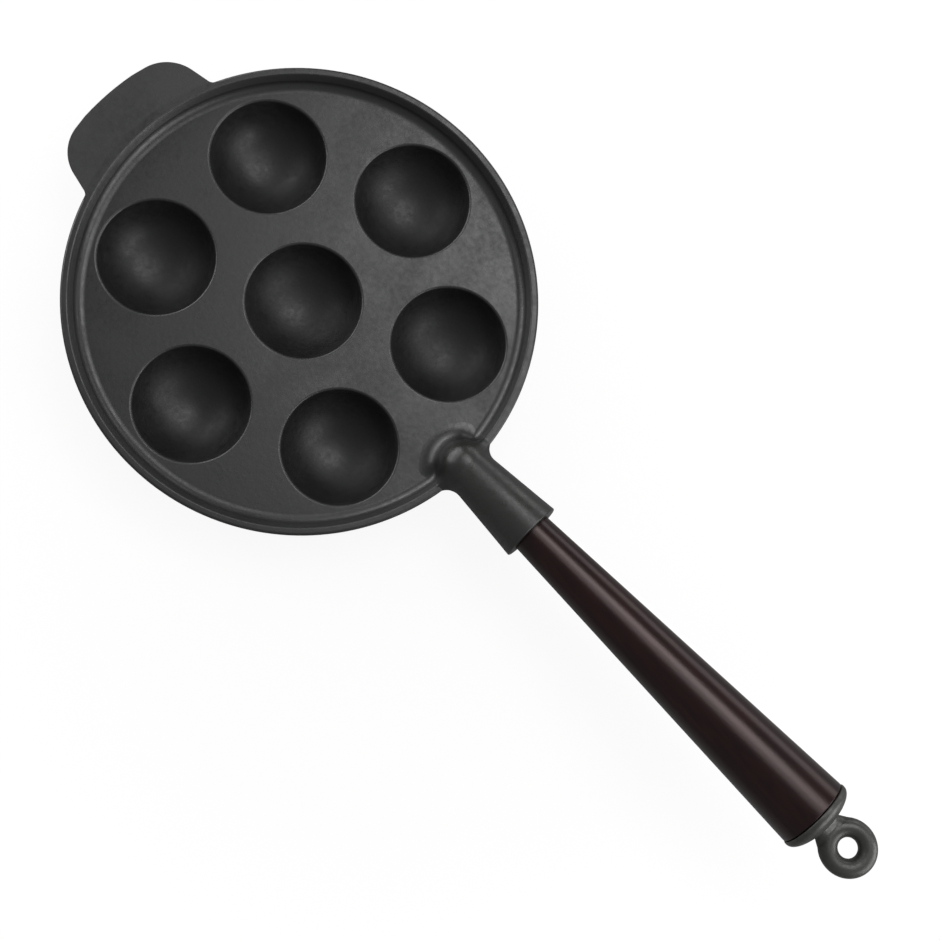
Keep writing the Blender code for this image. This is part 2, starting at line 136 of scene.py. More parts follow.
def rounded_corner(before, corner, after, radius, steps):
    # The arc of this radius that touches both sides of a corner of an outline
    corner = Vector(corner)
    to_before = (Vector(before) - corner).normalized()
    to_after = (Vector(after) - corner).normalized()
    half = to_before.angle(to_after) / 2.0
    centre = corner + (to_before + to_after).normalized() * (radius / math.sin(half))
    start = corner + to_before * (radius / math.tan(half)) - centre
    sweep = start.angle_signed(corner + to_after * (radius / math.tan(half)) - centre)
    return [tuple(centre + Matrix.Rotation(-sweep * step / steps, 2) @ start)
            for step in range(steps + 1)]


print("a quarter arc, points:", len(arc((0.0, 0.0), 1.0, 0.0, 90.0, CORNER_STEPS)))

# %% Helpers for node trees


def add_node(tree, kind, inputs=None, **settings):
    # An input is a value, the socket it is linked to, or a list of such sockets
    node = tree.nodes.new(kind)
    for key, value in settings.items():
        setattr(node, key, value)
    for key, value in (inputs or {}).items():
        for item in value if isinstance(value, list) else [value]:
            if isinstance(item, bpy.types.NodeSocket):
                tree.links.new(item, node.inputs[key])
            else:
                node.inputs[key].default_value = item
    return node


def maths(tree, operation, *values):
    return add_node(tree, "ShaderNodeMath", dict(enumerate(values)),
                    operation=operation).outputs["Value"]


def times(tree, product, *others):
    for other in others:
        product = maths(tree, "MULTIPLY", product, other)
    return product


def new_geometry_tree(name, inputs):
    tree = bpy.data.node_groups.new(name, "GeometryNodeTree")
    for label, kind in inputs:
        tree.interface.new_socket(label, in_out="INPUT", socket_type="NodeSocket" + kind)
    tree.interface.new_socket("Geometry", in_out="OUTPUT", socket_type="NodeSocketGeometry")
    return tree, tree.nodes.new("NodeGroupInput").outputs


def end_tree(tree, geometry, material):
    real = add_node(tree, "GeometryNodeRealizeInstances", {"Geometry": geometry})
    dressed = add_node(tree, "GeometryNodeSetMaterial",
                       {"Geometry": real.outputs["Geometry"], "Material": material})
    sink = tree.nodes.new("NodeGroupOutput")
    tree.links.new(dressed.outputs["Geometry"], sink.inputs["Geometry"])


# %% Helpers for meshes


def opened(mesh):
    bm = bmesh.new()
    bm.from_mesh(mesh)
    return bm


def put_back(bm, mesh):
    bm.to_mesh(mesh)
    bm.free()
    return mesh


def finished_mesh(name, bm):
    return put_back(bm, bpy.data.meshes.new(name))


def bridge_loops(bm, loops):
    for lower, upper in zip(loops, loops[1:]):
        for i in range(len(lower)):
            j = (i + 1) % len(lower)
            bm.faces.new((lower[i], lower[j], upper[j], upper[i]))


def evaluated_mesh(carrier):
    # The result of the carrier's modifiers as a plain mesh; the carrier is removed
    bpy.context.view_layer.update()
    depsgraph = bpy.context.evaluated_depsgraph_get()
    mesh = bpy.data.meshes.new_from_object(carrier.evaluated_get(depsgraph), depsgraph=depsgraph)
    bpy.data.objects.remove(carrier, do_unlink=True)
    return mesh


def run_tree(name, tree, values, base):
    carrier = add_object(name + "_carrier", base)
    modifier = carrier.modifiers.new(tree.name, "NODES")
    modifier.node_group = tree
    for item in tree.interface.items_tree:
        if item.in_out == "INPUT" and item.name in values:
            modifier[item.identifier] = values[item.name]
    mesh = evaluated_mesh(carrier)
    mesh.name = name
    return mesh


# %% The turning tree


def make_turning_tree():
    tree, given = new_geometry_tree("Turning", [
        ("Profile", "Geometry"), ("Steps", "Int"), ("Merge distance", "Float"),
        ("Material", "Material")])
    line = add_node(tree, "GeometryNodeMeshToCurve", {"Mesh": given["Profile"]})
    circle = add_node(tree, "GeometryNodeCurvePrimitiveCircle",
                      {"Resolution": given["Steps"], "Radius": 1.0})
    swept = add_node(tree, "GeometryNodeCurveToMesh", {
        "Curve": circle.outputs["Curve"], "Profile Curve": line.outputs["Curve"]})
    merged = add_node(tree, "GeometryNodeMergeByDistance", {
        "Geometry": swept.outputs["Mesh"], "Distance": given["Merge distance"]})
    end_tree(tree, merged.outputs["Geometry"], given["Material"])
    return tree


turning_tree = make_turning_tree()
print("inputs of the turning tree:", [item.name for item in turning_tree.interface.items_tree
                                      if item.in_out == "INPUT"])


def turned_mesh(name, profile, steps, material=None, closed=False):
    # Profile points are (radius, height); on the unit circle a radius counts from 1
    wire = bpy.data.meshes.new(name + "_profile")
    edges = [(i, i + 1) for i in range(len(profile) - 1)]
    if closed:
        edges.append((len(profile) - 1, 0))
    wire.from_pydata([(r - 1.0, -z, 0.0) for r, z in profile], edges, [])
    mesh = run_tree(name, turning_tree, {
        "Steps": steps, "Merge distance": MERGE, "Material": material}, wire)
    bm = opened(mesh)
    bmesh.ops.recalc_face_normals(bm, faces=bm.faces)
    print(name, "turned:", len(bm.faces), "faces,", round(bm.calc_volume() * 1e6, 2), "cm3")
    return put_back(bm, mesh)


# %% [markdown]
# ## Blank of the casting
# The casting is built up as the pattern maker does: a disc with its rim, the helper tab
# that is level with the rim, and the socket whose ball nose lies inside the rim. They
# stay separate closed forms here and are fused later in one step with the cups.

# %% Disc and rim
DISC_STEPS = 192
FOOT_STEPS = 12
OUTER_STEPS = 8
FOOT_END_ANGLE = -10.0
INNER_START_ANGLE = 165.0


def disc_profile():
    wall_top = RIM_RADIUS - RIM_TOP_WIDTH
    foot = wall_top - RIM_INNER_LEAN - RIM_FOOT_FILLET
    profile = [(0.0, PLATE_TOP)]
    profile += arc((foot, PLATE_TOP + RIM_FOOT_FILLET), RIM_FOOT_FILLET,
                   -90.0, FOOT_END_ANGLE, FOOT_STEPS)
    profile += arc((wall_top + RIM_INNER_ROUND, RIM_TOP - RIM_INNER_ROUND),
                   RIM_INNER_ROUND, INNER_START_ANGLE, 90.0, CORNER_STEPS)
    profile += arc((RIM_RADIUS - RIM_OUTER_ROUND, RIM_TOP - RIM_OUTER_ROUND),
                   RIM_OUTER_ROUND, 90.0, 0.0, OUTER_STEPS)
    edge = RIM_RADIUS - RIM_OUTER_LEAN - PLATE_EDGE_ROUND
    profile += arc((edge, PLATE_UNDER + PLATE_EDGE_ROUND), PLATE_EDGE_ROUND,
                   0.0, -90.0, CORNER_STEPS)
    profile.append((0.0, PLATE_UNDER))
    return profile


disc_mesh = turned_mesh("disc", disc_profile(), DISC_STEPS)

# %% Helper tab
TAB_REACH = 18.7 * MM
TAB_ROOT_HALF_WIDTH = 35.5 * MM
TAB_END_HALF_WIDTH = 31.0 * MM
TAB_THICKNESS = 6.0 * MM
TAB_CORNER_RADIUS = 18.0 * MM
TAB_ROOT_FILLET = 3.5 * MM
TAB_EDGE_ROUND = 1.3 * MM
TAB_OVERLAP = 1.6 * MM
TAB_CREST_SHARES = (0.42, 0.28, 0.14, 0.0, -0.14, -0.28, -0.42)
TAB_ROOT_STEPS = 10
TAB_CORNER_STEPS = 18
TAB_BACK_STEPS = 12


def tab_outline():
    end_radius = RIM_RADIUS + TAB_REACH
    root_angle = math.asin(TAB_ROOT_HALF_WIDTH / RIM_RADIUS)
    end_angle = math.asin(TAB_END_HALF_WIDTH / end_radius)
    inner_radius = RIM_RADIUS - TAB_OVERLAP
    skirt_angle = root_angle + 2.0 * TAB_ROOT_FILLET / RIM_RADIUS

    def at(radius, angle):
        return (-radius * math.cos(angle), radius * math.sin(angle))

    crest = [at(end_radius, end_angle * share) for share in TAB_CREST_SHARES]
    left = [at(inner_radius, skirt_angle)]
    left += rounded_corner(left[0], at(RIM_RADIUS, root_angle), at(end_radius, end_angle),
                           TAB_ROOT_FILLET, TAB_ROOT_STEPS)
    left += rounded_corner(at(RIM_RADIUS, root_angle), at(end_radius, end_angle), crest[0],
                           TAB_CORNER_RADIUS, TAB_CORNER_STEPS)
    right = [(x, -y) for x, y in reversed(left)]
    back = [at(inner_radius, skirt_angle * step / TAB_BACK_STEPS)
            for step in range(1 - TAB_BACK_STEPS, TAB_BACK_STEPS)]
    return left + crest + right + back


def make_tab_mesh():
    bm = bmesh.new()
    bottom = RIM_TOP - TAB_THICKNESS
    face = bm.faces.new([bm.verts.new((x, y, bottom)) for x, y in tab_outline()])
    top = bmesh.ops.extrude_face_region(bm, geom=[face])["geom"]
    lifted = [item for item in top if isinstance(item, bmesh.types.BMVert)]
    bmesh.ops.translate(bm, vec=Vector((0.0, 0.0, TAB_THICKNESS)), verts=lifted)
    bmesh.ops.recalc_face_normals(bm, faces=bm.faces)
    buried = RIM_RADIUS - TAB_OVERLAP / 2.0

    def is_free(edge):
        level = abs(edge.verts[0].co.z - edge.verts[1].co.z) < MERGE
        return level and all(vert.co.xy.length > buried for vert in edge.verts)

    edges = [edge for edge in bm.edges if is_free(edge)]
    bmesh.ops.bevel(bm, geom=edges, offset=TAB_EDGE_ROUND, segments=CORNER_STEPS, profile=0.5,
                    affect="EDGES", clamp_overlap=True)
    return finished_mesh("tab", bm)


tab_mesh = make_tab_mesh()
print("tab reaches, mm:", round((RIM_RADIUS + TAB_REACH) / MM, 1))

# %% [markdown]
# ### Socket and nose
# The socket is a cone around the handle's line, which starts at the edge of the rim and
# rises a little. Inside the rim it ends in a ball. A casting has no sharp inner corners.
# Outside the rim the socket's skin therefore swells by the width that a round fillet has
# at each gap. Inside the rim a patch is laid over plate, rim and nose like a sheet: each
# of its points falls from above until it rests on the smooth blend of the two distances.
# The patch lies a hair inside the other forms, so it shows only where it fills a corner.

# %% Line of the handle
HANDLE_RISE = math.radians(9.0)
HANDLE_AXIS_HEIGHT = 6.0 * MM
AXIS_START = Vector((RIM_RADIUS, 0.0, PLATE_TOP + HANDLE_AXIS_HEIGHT))
AXIS_ALONG = Vector((math.cos(HANDLE_RISE), 0.0, math.sin(HANDLE_RISE)))
AXIS_UP = Vector((-math.sin(HANDLE_RISE), 0.0, math.cos(HANDLE_RISE)))
AXIS_SIDE = Vector((0.0, 1.0, 0.0))
HANDLE_TILT = Matrix.Rotation(math.pi / 2.0 - HANDLE_RISE, 4, "Y")
HANDLE_FRAME = Matrix.Translation(AXIS_START) @ HANDLE_TILT
print("handle rises, degrees:", round(math.degrees(HANDLE_RISE), 1))

# %% Socket sizes
SOCKET_LENGTH = 38.0 * MM
SOCKET_ROOT_RADIUS = 10.2 * MM
SOCKET_MOUTH_RADIUS = 13.55 * MM
SOCKET_MOUTH_ROUND = 0.6 * MM
SOCKET_FILLET = 4.8 * MM
NOSE_REACH = 16.8 * MM
NOSE_SHORTER = 4.0 * MM
NOSE_BALL_CENTRE = SOCKET_ROOT_RADIUS - NOSE_REACH + NOSE_SHORTER
SIDE_FILLET_SHARE = 1.3
SIDE_FILLET = SOCKET_FILLET * SIDE_FILLET_SHARE
ROOT_END_SHARE = 1.3
SWELL_START_RADIUS = RIM_RADIUS - 10.0 * MM
SWELL_FULL_RADIUS = RIM_RADIUS - 3.0 * MM
FILLET_LEAN = math.radians(22.0)
SOCKET_SIDES = 104
NOSE_ROWS = 28
ROOT_ROWS = 34
MOUTH_ROWS = 5
MOUTH_STEPS = 5
SWELL_ROUNDS = 18


def smooth_step(value, low, high):
    share = np.clip((value - low) / (high - low), 0.0, 1.0)
    return share * share * (3.0 - 2.0 * share)


def fillet_width(gap):
    # The arc meets the rim at a small lean, which keeps the seam between them clean
    radius = SIDE_FILLET / math.cos(FILLET_LEAN)
    rest = SIDE_FILLET - np.clip(gap, 0.0, SIDE_FILLET)
    return radius - np.sqrt(radius ** 2 - rest ** 2)


def distance_to_outline(points, outline):
    # How far each point is from the turned disc, with a minus inside it
    radius = np.hypot(points[:, 0], points[:, 1])[:, None]
    height = points[:, 2][:, None]
    start = np.array(outline)
    side = np.roll(start, -1, axis=0) - start
    length = np.maximum((side ** 2).sum(axis=1), MERGE ** 2)
    along = ((radius - start[:, 0]) * side[:, 0] + (height - start[:, 1]) * side[:, 1]) / length
    along = np.clip(along, 0.0, 1.0)
    nearest = np.hypot(radius - start[:, 0] - side[:, 0] * along,
                       height - start[:, 1] - side[:, 1] * along).min(axis=1)
    end = start + side
    crosses = (start[:, 1] > height) != (end[:, 1] > height)
    rise = np.where(side[:, 1] == 0.0, 1.0, side[:, 1])
    edge = start[:, 0] + (height - start[:, 1]) * side[:, 0] / rise
    inside = (crosses & (radius < edge)).sum(axis=1) % 2 == 1
    return np.where(inside, -nearest, nearest)


def swollen(points, normals, outline):
    # The swell is found where the fillet's width fits the gap that is left beyond it
    share = smooth_step(points[:, 2], PLATE_UNDER, PLATE_TOP)
    share *= smooth_step(np.hypot(points[:, 0], points[:, 1]), SWELL_START_RADIUS,
                         SWELL_FULL_RADIUS)
    low = np.zeros(len(points))
    high = np.full(len(points), SIDE_FILLET)
    for _ in range(SWELL_ROUNDS):
        middle = (low + high) / 2.0
        gap = distance_to_outline(points + normals * middle[:, None], outline)
        wanted = fillet_width(gap) * share
        low = np.where(wanted > middle, middle, low)
        high = np.where(wanted > middle, high, middle)
    return points + normals * low[:, None]


# %% Socket loft


def socket_radius(place):
    share = max(0.0, place / SOCKET_LENGTH)
    return SOCKET_ROOT_RADIUS + (SOCKET_MOUTH_RADIUS - SOCKET_ROOT_RADIUS) * share


def socket_rows():
    rows = []
    for row in range(NOSE_ROWS):
        lean = math.pi / 2.0 * (1.0 - row / NOSE_ROWS)
        rows.append((NOSE_BALL_CENTRE - SOCKET_ROOT_RADIUS * math.sin(lean),
                     SOCKET_ROOT_RADIUS * math.cos(lean), lean))
    root_end = SIDE_FILLET * ROOT_END_SHARE
    for row in range(ROOT_ROWS + 1):
        place = NOSE_BALL_CENTRE + (root_end - NOSE_BALL_CENTRE) * row / ROOT_ROWS
        rows.append((place, socket_radius(place), 0.0))
    round_start = SOCKET_LENGTH - SOCKET_MOUTH_ROUND
    for row in range(1, MOUTH_ROWS):
        place = root_end + (round_start - root_end) * row / MOUTH_ROWS
        rows.append((place, socket_radius(place), 0.0))
    for place, inset in arc((round_start, SOCKET_MOUTH_ROUND), SOCKET_MOUTH_ROUND,
                            -90.0, 0.0, MOUTH_STEPS):
        rows.append((place, SOCKET_MOUTH_RADIUS - inset, 0.0))
    return rows


def make_socket_mesh():
    points = []
    normals = []
    for place, radius, lean in socket_rows():
        for side in range(SOCKET_SIDES):
            angle = 2.0 * math.pi * side / SOCKET_SIDES
            spoke = AXIS_UP * math.cos(angle) + AXIS_SIDE * math.sin(angle)
            points.append(AXIS_START + AXIS_ALONG * place + spoke * radius)
            normals.append(spoke * math.cos(lean) - AXIS_ALONG * math.sin(lean))
    skin = swollen(np.array(points), np.array(normals), disc_profile())
    bm = bmesh.new()
    verts = [bm.verts.new(point) for point in skin]
    loops = [verts[i:i + SOCKET_SIDES] for i in range(0, len(verts), SOCKET_SIDES)]
    bridge_loops(bm, loops)
    bm.faces.new(loops[-1])
    bmesh.ops.remove_doubles(bm, verts=bm.verts, dist=MERGE)
    bmesh.ops.recalc_face_normals(bm, faces=bm.faces)
    return finished_mesh("socket", bm)


socket_mesh = make_socket_mesh()
print("socket faces:", len(socket_mesh.polygons))

# %% Patch over the nose
BLEND_WIDE = 11.0 * MM
BLEND_NARROW = 6.0 * MM
BLEND_WIDE_RADIUS = RIM_RADIUS - 13.0 * MM
BLEND_NARROW_RADIUS = RIM_RADIUS - 4.0 * MM
PATCH_START_RADIUS = RIM_RADIUS - 25.0 * MM
PATCH_END_RADIUS = RIM_RADIUS - 2.0 * MM
PATCH_HALF_TURN = math.radians(15.0)
PATCH_RINGS = 64
PATCH_SPOKES = 120
PATCH_SINK = 0.05 * MM
PATCH_DEPTH = 2.0 * MM
PATCH_FALL_START = RIM_TOP + 14.0 * MM
FALL_ROUNDS = 70


def distance_to_socket(points):
    from_start = points - np.array(AXIS_START)
    along = from_start @ np.array(AXIS_ALONG)
    nearest = np.maximum(along, NOSE_BALL_CENTRE)[:, None] * np.array(AXIS_ALONG)
    growth = (SOCKET_MOUTH_RADIUS - SOCKET_ROOT_RADIUS) / SOCKET_LENGTH
    radius = SOCKET_ROOT_RADIUS + growth * np.maximum(along, 0.0)
    return np.linalg.norm(from_start - nearest, axis=1) - radius


def fallen_points(places, outline):
    # Near the corner both distances are alike, and the blend is a little less than either
    radius = np.hypot(places[:, 0], places[:, 1])
    narrowing = smooth_step(radius, BLEND_WIDE_RADIUS, BLEND_NARROW_RADIUS)
    reach = BLEND_WIDE + (BLEND_NARROW - BLEND_WIDE) * narrowing
    points = np.column_stack((places, np.full(len(places), PATCH_FALL_START)))
    for _ in range(FALL_ROUNDS):
        disc = distance_to_outline(points, outline)
        socket = distance_to_socket(points)
        nearness = np.clip(1.0 - np.abs(disc - socket) / reach, 0.0, 1.0)
        points[:, 2] -= np.minimum(disc, socket) - nearness ** 2 * reach / 4.0 + PATCH_SINK
    return points


def make_patch_mesh():
    places = []
    for ring in range(PATCH_RINGS + 1):
        radius = PATCH_START_RADIUS + (PATCH_END_RADIUS - PATCH_START_RADIUS) * ring / PATCH_RINGS
        for spoke in range(PATCH_SPOKES + 1):
            turn = PATCH_HALF_TURN * (2.0 * spoke / PATCH_SPOKES - 1.0)
            places.append((radius * math.cos(turn), radius * math.sin(turn)))
    bm = bmesh.new()
    verts = [bm.verts.new(point) for point in fallen_points(np.array(places), disc_profile())]
    width = PATCH_SPOKES + 1
    for ring in range(PATCH_RINGS):
        for spoke in range(PATCH_SPOKES):
            corner = ring * width + spoke
            bm.faces.new((verts[corner], verts[corner + width], verts[corner + width + 1],
                          verts[corner + 1]))
    border = list(range(width))
    border += [ring * width + PATCH_SPOKES for ring in range(1, PATCH_RINGS + 1)]
    border += [PATCH_RINGS * width + spoke for spoke in range(PATCH_SPOKES - 1, -1, -1)]
    border += [ring * width for ring in range(PATCH_RINGS - 1, 0, -1)]
    upper = [verts[index] for index in border]
    lower = [bm.verts.new((vert.co.x, vert.co.y, PLATE_TOP - PATCH_DEPTH)) for vert in upper]
    bridge_loops(bm, [upper, lower])
    bm.faces.new(lower)
    bmesh.ops.recalc_face_normals(bm, faces=bm.faces)
    return finished_mesh("patch", bm)


patch_mesh = make_patch_mesh()
print("patch rises to, mm:", round(max(v.co.z for v in patch_mesh.vertices) / MM, 1))

# %% [markdown]
# ## Wells and cups
# Each well is half a flattened ball with a small round at its mouth, and each cup is the
# same ball with a wall around it, which ends in a flat that stands on the stove. Both
# are turned once here, at the pan's centre.

# %% Well and cup forms
WELL_STEPS = 72
WELL_ROWS = 18


def well_profile():
    mouth = WELL_RADIUS + WELL_MOUTH_ROUND
    profile = [(0.0, PLATE_TOP + OVERRUN), (mouth, PLATE_TOP + OVERRUN)]
    profile += arc((mouth, PLATE_TOP - WELL_MOUTH_ROUND), WELL_MOUTH_ROUND,
                   90.0, 180.0, CORNER_STEPS)
    for row in range(1, WELL_ROWS + 1):
        angle = math.pi / 2.0 * row / WELL_ROWS
        depth = WELL_MOUTH_ROUND + (WELL_DEPTH - WELL_MOUTH_ROUND) * math.sin(angle)
        radius = WELL_RADIUS * math.cos(angle) if row < WELL_ROWS else 0.0
        profile.append((radius, PLATE_TOP - depth))
    return profile


def cup_profile():
    radius = WELL_RADIUS + WELL_WALL
    flat_angle = math.acos(CUP_FLAT_RADIUS / radius)
    reach = (PLATE_TOP - WELL_MOUTH_ROUND) / math.sin(flat_angle)
    fillet_foot = PLATE_THICKNESS + CUP_ROOT_FILLET
    first_angle = math.asin((fillet_foot - WELL_MOUTH_ROUND) / reach)
    side = radius * math.cos(first_angle)
    buried = PLATE_TOP - PLATE_THICKNESS / 2.0
    profile = [(0.0, buried), (side + CUP_ROOT_FILLET, buried)]
    profile += arc((side + CUP_ROOT_FILLET, PLATE_TOP - fillet_foot), CUP_ROOT_FILLET,
                   90.0, 180.0, CORNER_STEPS)
    for row in range(1, WELL_ROWS + 1):
        angle = first_angle + (flat_angle - first_angle) * row / WELL_ROWS
        height = PLATE_TOP - WELL_MOUTH_ROUND - reach * math.sin(angle)
        profile.append((radius * math.cos(angle), max(0.0, height)))
    profile.append((0.0, 0.0))
    return profile


well_form = add_object("well_form", turned_mesh("well", well_profile(), WELL_STEPS))
cup_form = add_object("cup_form", turned_mesh("cup", cup_profile(), WELL_STEPS))

# %% [markdown]
# ## Bore of the socket
# The wood's tenon and the threaded end of the rod need their room inside the socket, so
# the bore is cut from the same sizes as the pieces that fill it, plus a small gap.

# %% Bore form
FIT_GAP = 0.3 * MM
SOCKET_DEPTH = 24.0 * MM
SOCKET_FLOOR = SOCKET_LENGTH - SOCKET_DEPTH
WOOD_NECK_RADIUS = 9.1 * MM
TENON_TAPER = 1.0 * MM
ROD_RADIUS = 3.175 * MM
THREAD_PITCH = 1.27 * MM
THREAD_TURNS = 12
THREAD_LENGTH = THREAD_PITCH * THREAD_TURNS
BORE_STEPS = 64


def bore_profile():
    mouth = WOOD_NECK_RADIUS + FIT_GAP
    rod = ROD_RADIUS + FIT_GAP
    end = SOCKET_LENGTH + OVERRUN
    return [(0.0, end), (mouth, end), (mouth, SOCKET_LENGTH), (mouth - TENON_TAPER, SOCKET_FLOOR),
            (rod, SOCKET_FLOOR), (rod, SOCKET_FLOOR - THREAD_LENGTH),
            (0.0, SOCKET_FLOOR - THREAD_LENGTH)]


bore_mesh = turned_mesh("bore", bore_profile(), BORE_STEPS)
bore_mesh.transform(HANDLE_FRAME)
bore_form = add_object("bore_form", bore_mesh)

# %% [markdown]
# ## The casting in one tree
# Seven wells follow a rule: one in the middle and six evenly on a ring. A Geometry Nodes
# tree places them from the ring's radius and their number, fuses the cups with the
# blank and cuts the wells and the bore, so that a pan with other wells needs only other
# inputs.

# %% Casting tree


def fused_and_cut(tree, forms, cutters):
    fused = add_node(tree, "GeometryNodeMeshBoolean", {
        "Mesh 2": forms, "Self Intersection": True}, operation="UNION", solver="EXACT")
    return add_node(tree, "GeometryNodeMeshBoolean", {
        "Mesh 1": fused.outputs["Mesh"], "Mesh 2": cutters},
        operation="DIFFERENCE", solver="EXACT").outputs["Mesh"]


def make_casting_tree():
    tree, given = new_geometry_tree("Well pattern", [
        ("Blank", "Geometry"), ("Ring wells", "Int"), ("Ring radius", "Float"),
        ("First angle", "Float"), ("Well", "Object"), ("Cup", "Object"), ("Bore", "Object"),
        ("Material", "Material")])
    ring = add_node(tree, "GeometryNodeMeshCircle", {
        "Vertices": given["Ring wells"], "Radius": given["Ring radius"]})
    position = add_node(tree, "GeometryNodeInputPosition")
    turned = add_node(tree, "ShaderNodeVectorRotate", {
        "Vector": position.outputs["Position"], "Angle": given["First angle"]},
        rotation_type="Z_AXIS")
    placed = add_node(tree, "GeometryNodeSetPosition", {
        "Geometry": ring.outputs["Mesh"], "Position": turned.outputs["Vector"]})
    corners = add_node(tree, "GeometryNodeMeshToPoints", {"Mesh": placed.outputs["Geometry"]})
    middle = add_node(tree, "GeometryNodePoints", {"Count": 1})
    points = add_node(tree, "GeometryNodeJoinGeometry", {
        "Geometry": [corners.outputs["Points"], middle.outputs["Geometry"]]})

    def copies(form):
        shape = add_node(tree, "GeometryNodeObjectInfo", {"Object": given[form]})
        many = add_node(tree, "GeometryNodeInstanceOnPoints", {
            "Points": points.outputs["Geometry"], "Instance": shape.outputs["Geometry"]})
        return add_node(tree, "GeometryNodeRealizeInstances",
                        {"Geometry": many.outputs["Instances"]}).outputs["Geometry"]

    cups = copies("Cup")
    bore = add_node(tree, "GeometryNodeObjectInfo", {"Object": given["Bore"]})
    cut = fused_and_cut(tree, [given["Blank"], cups],
                        [copies("Well"), bore.outputs["Geometry"]])
    end_tree(tree, cut, given["Material"])
    return tree


def joined_mesh(name, meshes):
    bm = bmesh.new()
    for mesh in meshes:
        bm.from_mesh(mesh)
    return finished_mesh(name, bm)


pan_iron = bpy.data.materials.new("seasoned_iron")
casting_mesh = run_tree("pan_casting_fine", make_casting_tree(), {
    "Ring wells": RING_WELLS, "Ring radius": WELL_RING_RADIUS,
    "First angle": math.pi / RING_WELLS, "Well": well_form, "Cup": cup_form,
    "Bore": bore_form, "Material": pan_iron},
    joined_mesh("blank", [disc_mesh, tab_mesh, socket_mesh, patch_mesh]))
for form in (well_form, cup_form, bore_form):
    bpy.data.objects.remove(form, do_unlink=True)
print("casting faces:", len(casting_mesh.polygons))

# %% [markdown]
# ## Wooden handle
# The handle is one turned cone with a small round at its outer end and a tapered tenon
# that sits in the socket. A hole runs through it for the rod, so the profile is a closed
# outline that is turned around the handle's line.

# %% Turn the handle
WOOD_LENGTH = 158.7 * MM
WOOD_END_RADIUS = 16.0 * MM
WOOD_END_ROUND = 0.6 * MM
WOOD_BORE_RADIUS = 3.6 * MM
WOOD_STEPS = 128
WOOD_TOP = SOCKET_LENGTH + WOOD_LENGTH


def wood_profile():
    tenon_end = SOCKET_FLOOR + FIT_GAP
    profile = [(WOOD_BORE_RADIUS, WOOD_TOP)]
    profile += arc((WOOD_END_RADIUS - WOOD_END_ROUND, WOOD_TOP - WOOD_END_ROUND),
                   WOOD_END_ROUND, 90.0, 0.0, CORNER_STEPS)
    profile.append((WOOD_NECK_RADIUS, SOCKET_LENGTH))
    profile.append((WOOD_NECK_RADIUS - TENON_TAPER, tenon_end))
    profile.append((WOOD_BORE_RADIUS, tenon_end))
    return profile


handle_wood = bpy.data.materials.new("lacquered_wood")
wood_mesh = turned_mesh("wooden_handle_fine", wood_profile(), WOOD_STEPS, handle_wood, closed=True)
wood_mesh.transform(HANDLE_FRAME)

# %% [markdown]
# ## Tie rod
# A steel rod runs through the wood from the eye into the socket and pulls the three
# together. Its lower end has a real right-hand thread: the turned rod gets a row of
# corners for every eighth of a pitch there, and a second tree presses the helical groove
# in by comparing each corner's height with its angle.

# %% Turn the rod and cut its thread
CAP_SEAT = WOOD_TOP + FIT_GAP
ROD_CHAMFER = 0.6 * MM
ROD_HOLE_DEPTH = 10.2 * MM
ROD_STEPS = 48
ROWS_PER_PITCH = 8
THREAD_DEPTH_SHARE = 0.61
THREAD_DEPTH = THREAD_DEPTH_SHARE * THREAD_PITCH
ROD_BOTTOM = SOCKET_FLOOR - THREAD_LENGTH + FIT_GAP


def rod_profile():
    top = CAP_SEAT + ROD_HOLE_DEPTH - FIT_GAP
    profile = [(0.0, top), (ROD_RADIUS - ROD_CHAMFER, top), (ROD_RADIUS, top - ROD_CHAMFER)]
    rows = int(ROWS_PER_PITCH * (THREAD_LENGTH - ROD_CHAMFER) / THREAD_PITCH)
    for row in range(rows, -1, -1):
        profile.append((ROD_RADIUS, ROD_BOTTOM + ROD_CHAMFER + row * THREAD_PITCH / ROWS_PER_PITCH))
    profile += [(ROD_RADIUS - ROD_CHAMFER, ROD_BOTTOM), (0.0, ROD_BOTTOM)]
    return profile


def make_thread_tree():
    tree, given = new_geometry_tree("Thread", [
        ("Rod", "Geometry"), ("Pitch", "Float"), ("Depth", "Float"), ("Radius", "Float"),
        ("Lowest", "Float"), ("Highest", "Float"), ("Material", "Material")])
    position = add_node(tree, "GeometryNodeInputPosition").outputs["Position"]
    place = add_node(tree, "ShaderNodeSeparateXYZ", {"Vector": position}).outputs
    angle = maths(tree, "ARCTAN2", place["Y"], place["X"])
    turn = maths(tree, "DIVIDE", angle, 2.0 * math.pi)
    rise = maths(tree, "DIVIDE", place["Z"], given["Pitch"])
    phase = maths(tree, "FRACT", maths(tree, "SUBTRACT", rise, turn))
    ridge = maths(tree, "PINGPONG", times(tree, phase, 2.0), 1.0)
    above = maths(tree, "SUBTRACT", place["Z"], given["Lowest"])
    below = maths(tree, "SUBTRACT", given["Highest"], place["Z"])
    nearest_end = maths(tree, "MINIMUM", maths(tree, "DIVIDE", above, given["Pitch"]),
                        maths(tree, "DIVIDE", below, given["Pitch"]))
    run_out = add_node(tree, "ShaderNodeClamp", {"Value": nearest_end}).outputs["Result"]
    inwards = times(tree, ridge, run_out, given["Depth"], -1.0)
    share = maths(tree, "DIVIDE", inwards, given["Radius"])
    flat = add_node(tree, "ShaderNodeCombineXYZ", {"X": place["X"], "Y": place["Y"]})
    inward = add_node(tree, "ShaderNodeVectorMath", {
        0: flat.outputs["Vector"], "Scale": share}, operation="SCALE")
    cut = add_node(tree, "GeometryNodeSetPosition", {
        "Geometry": given["Rod"], "Offset": inward.outputs["Vector"]})
    end_tree(tree, cut.outputs["Geometry"], given["Material"])
    return tree


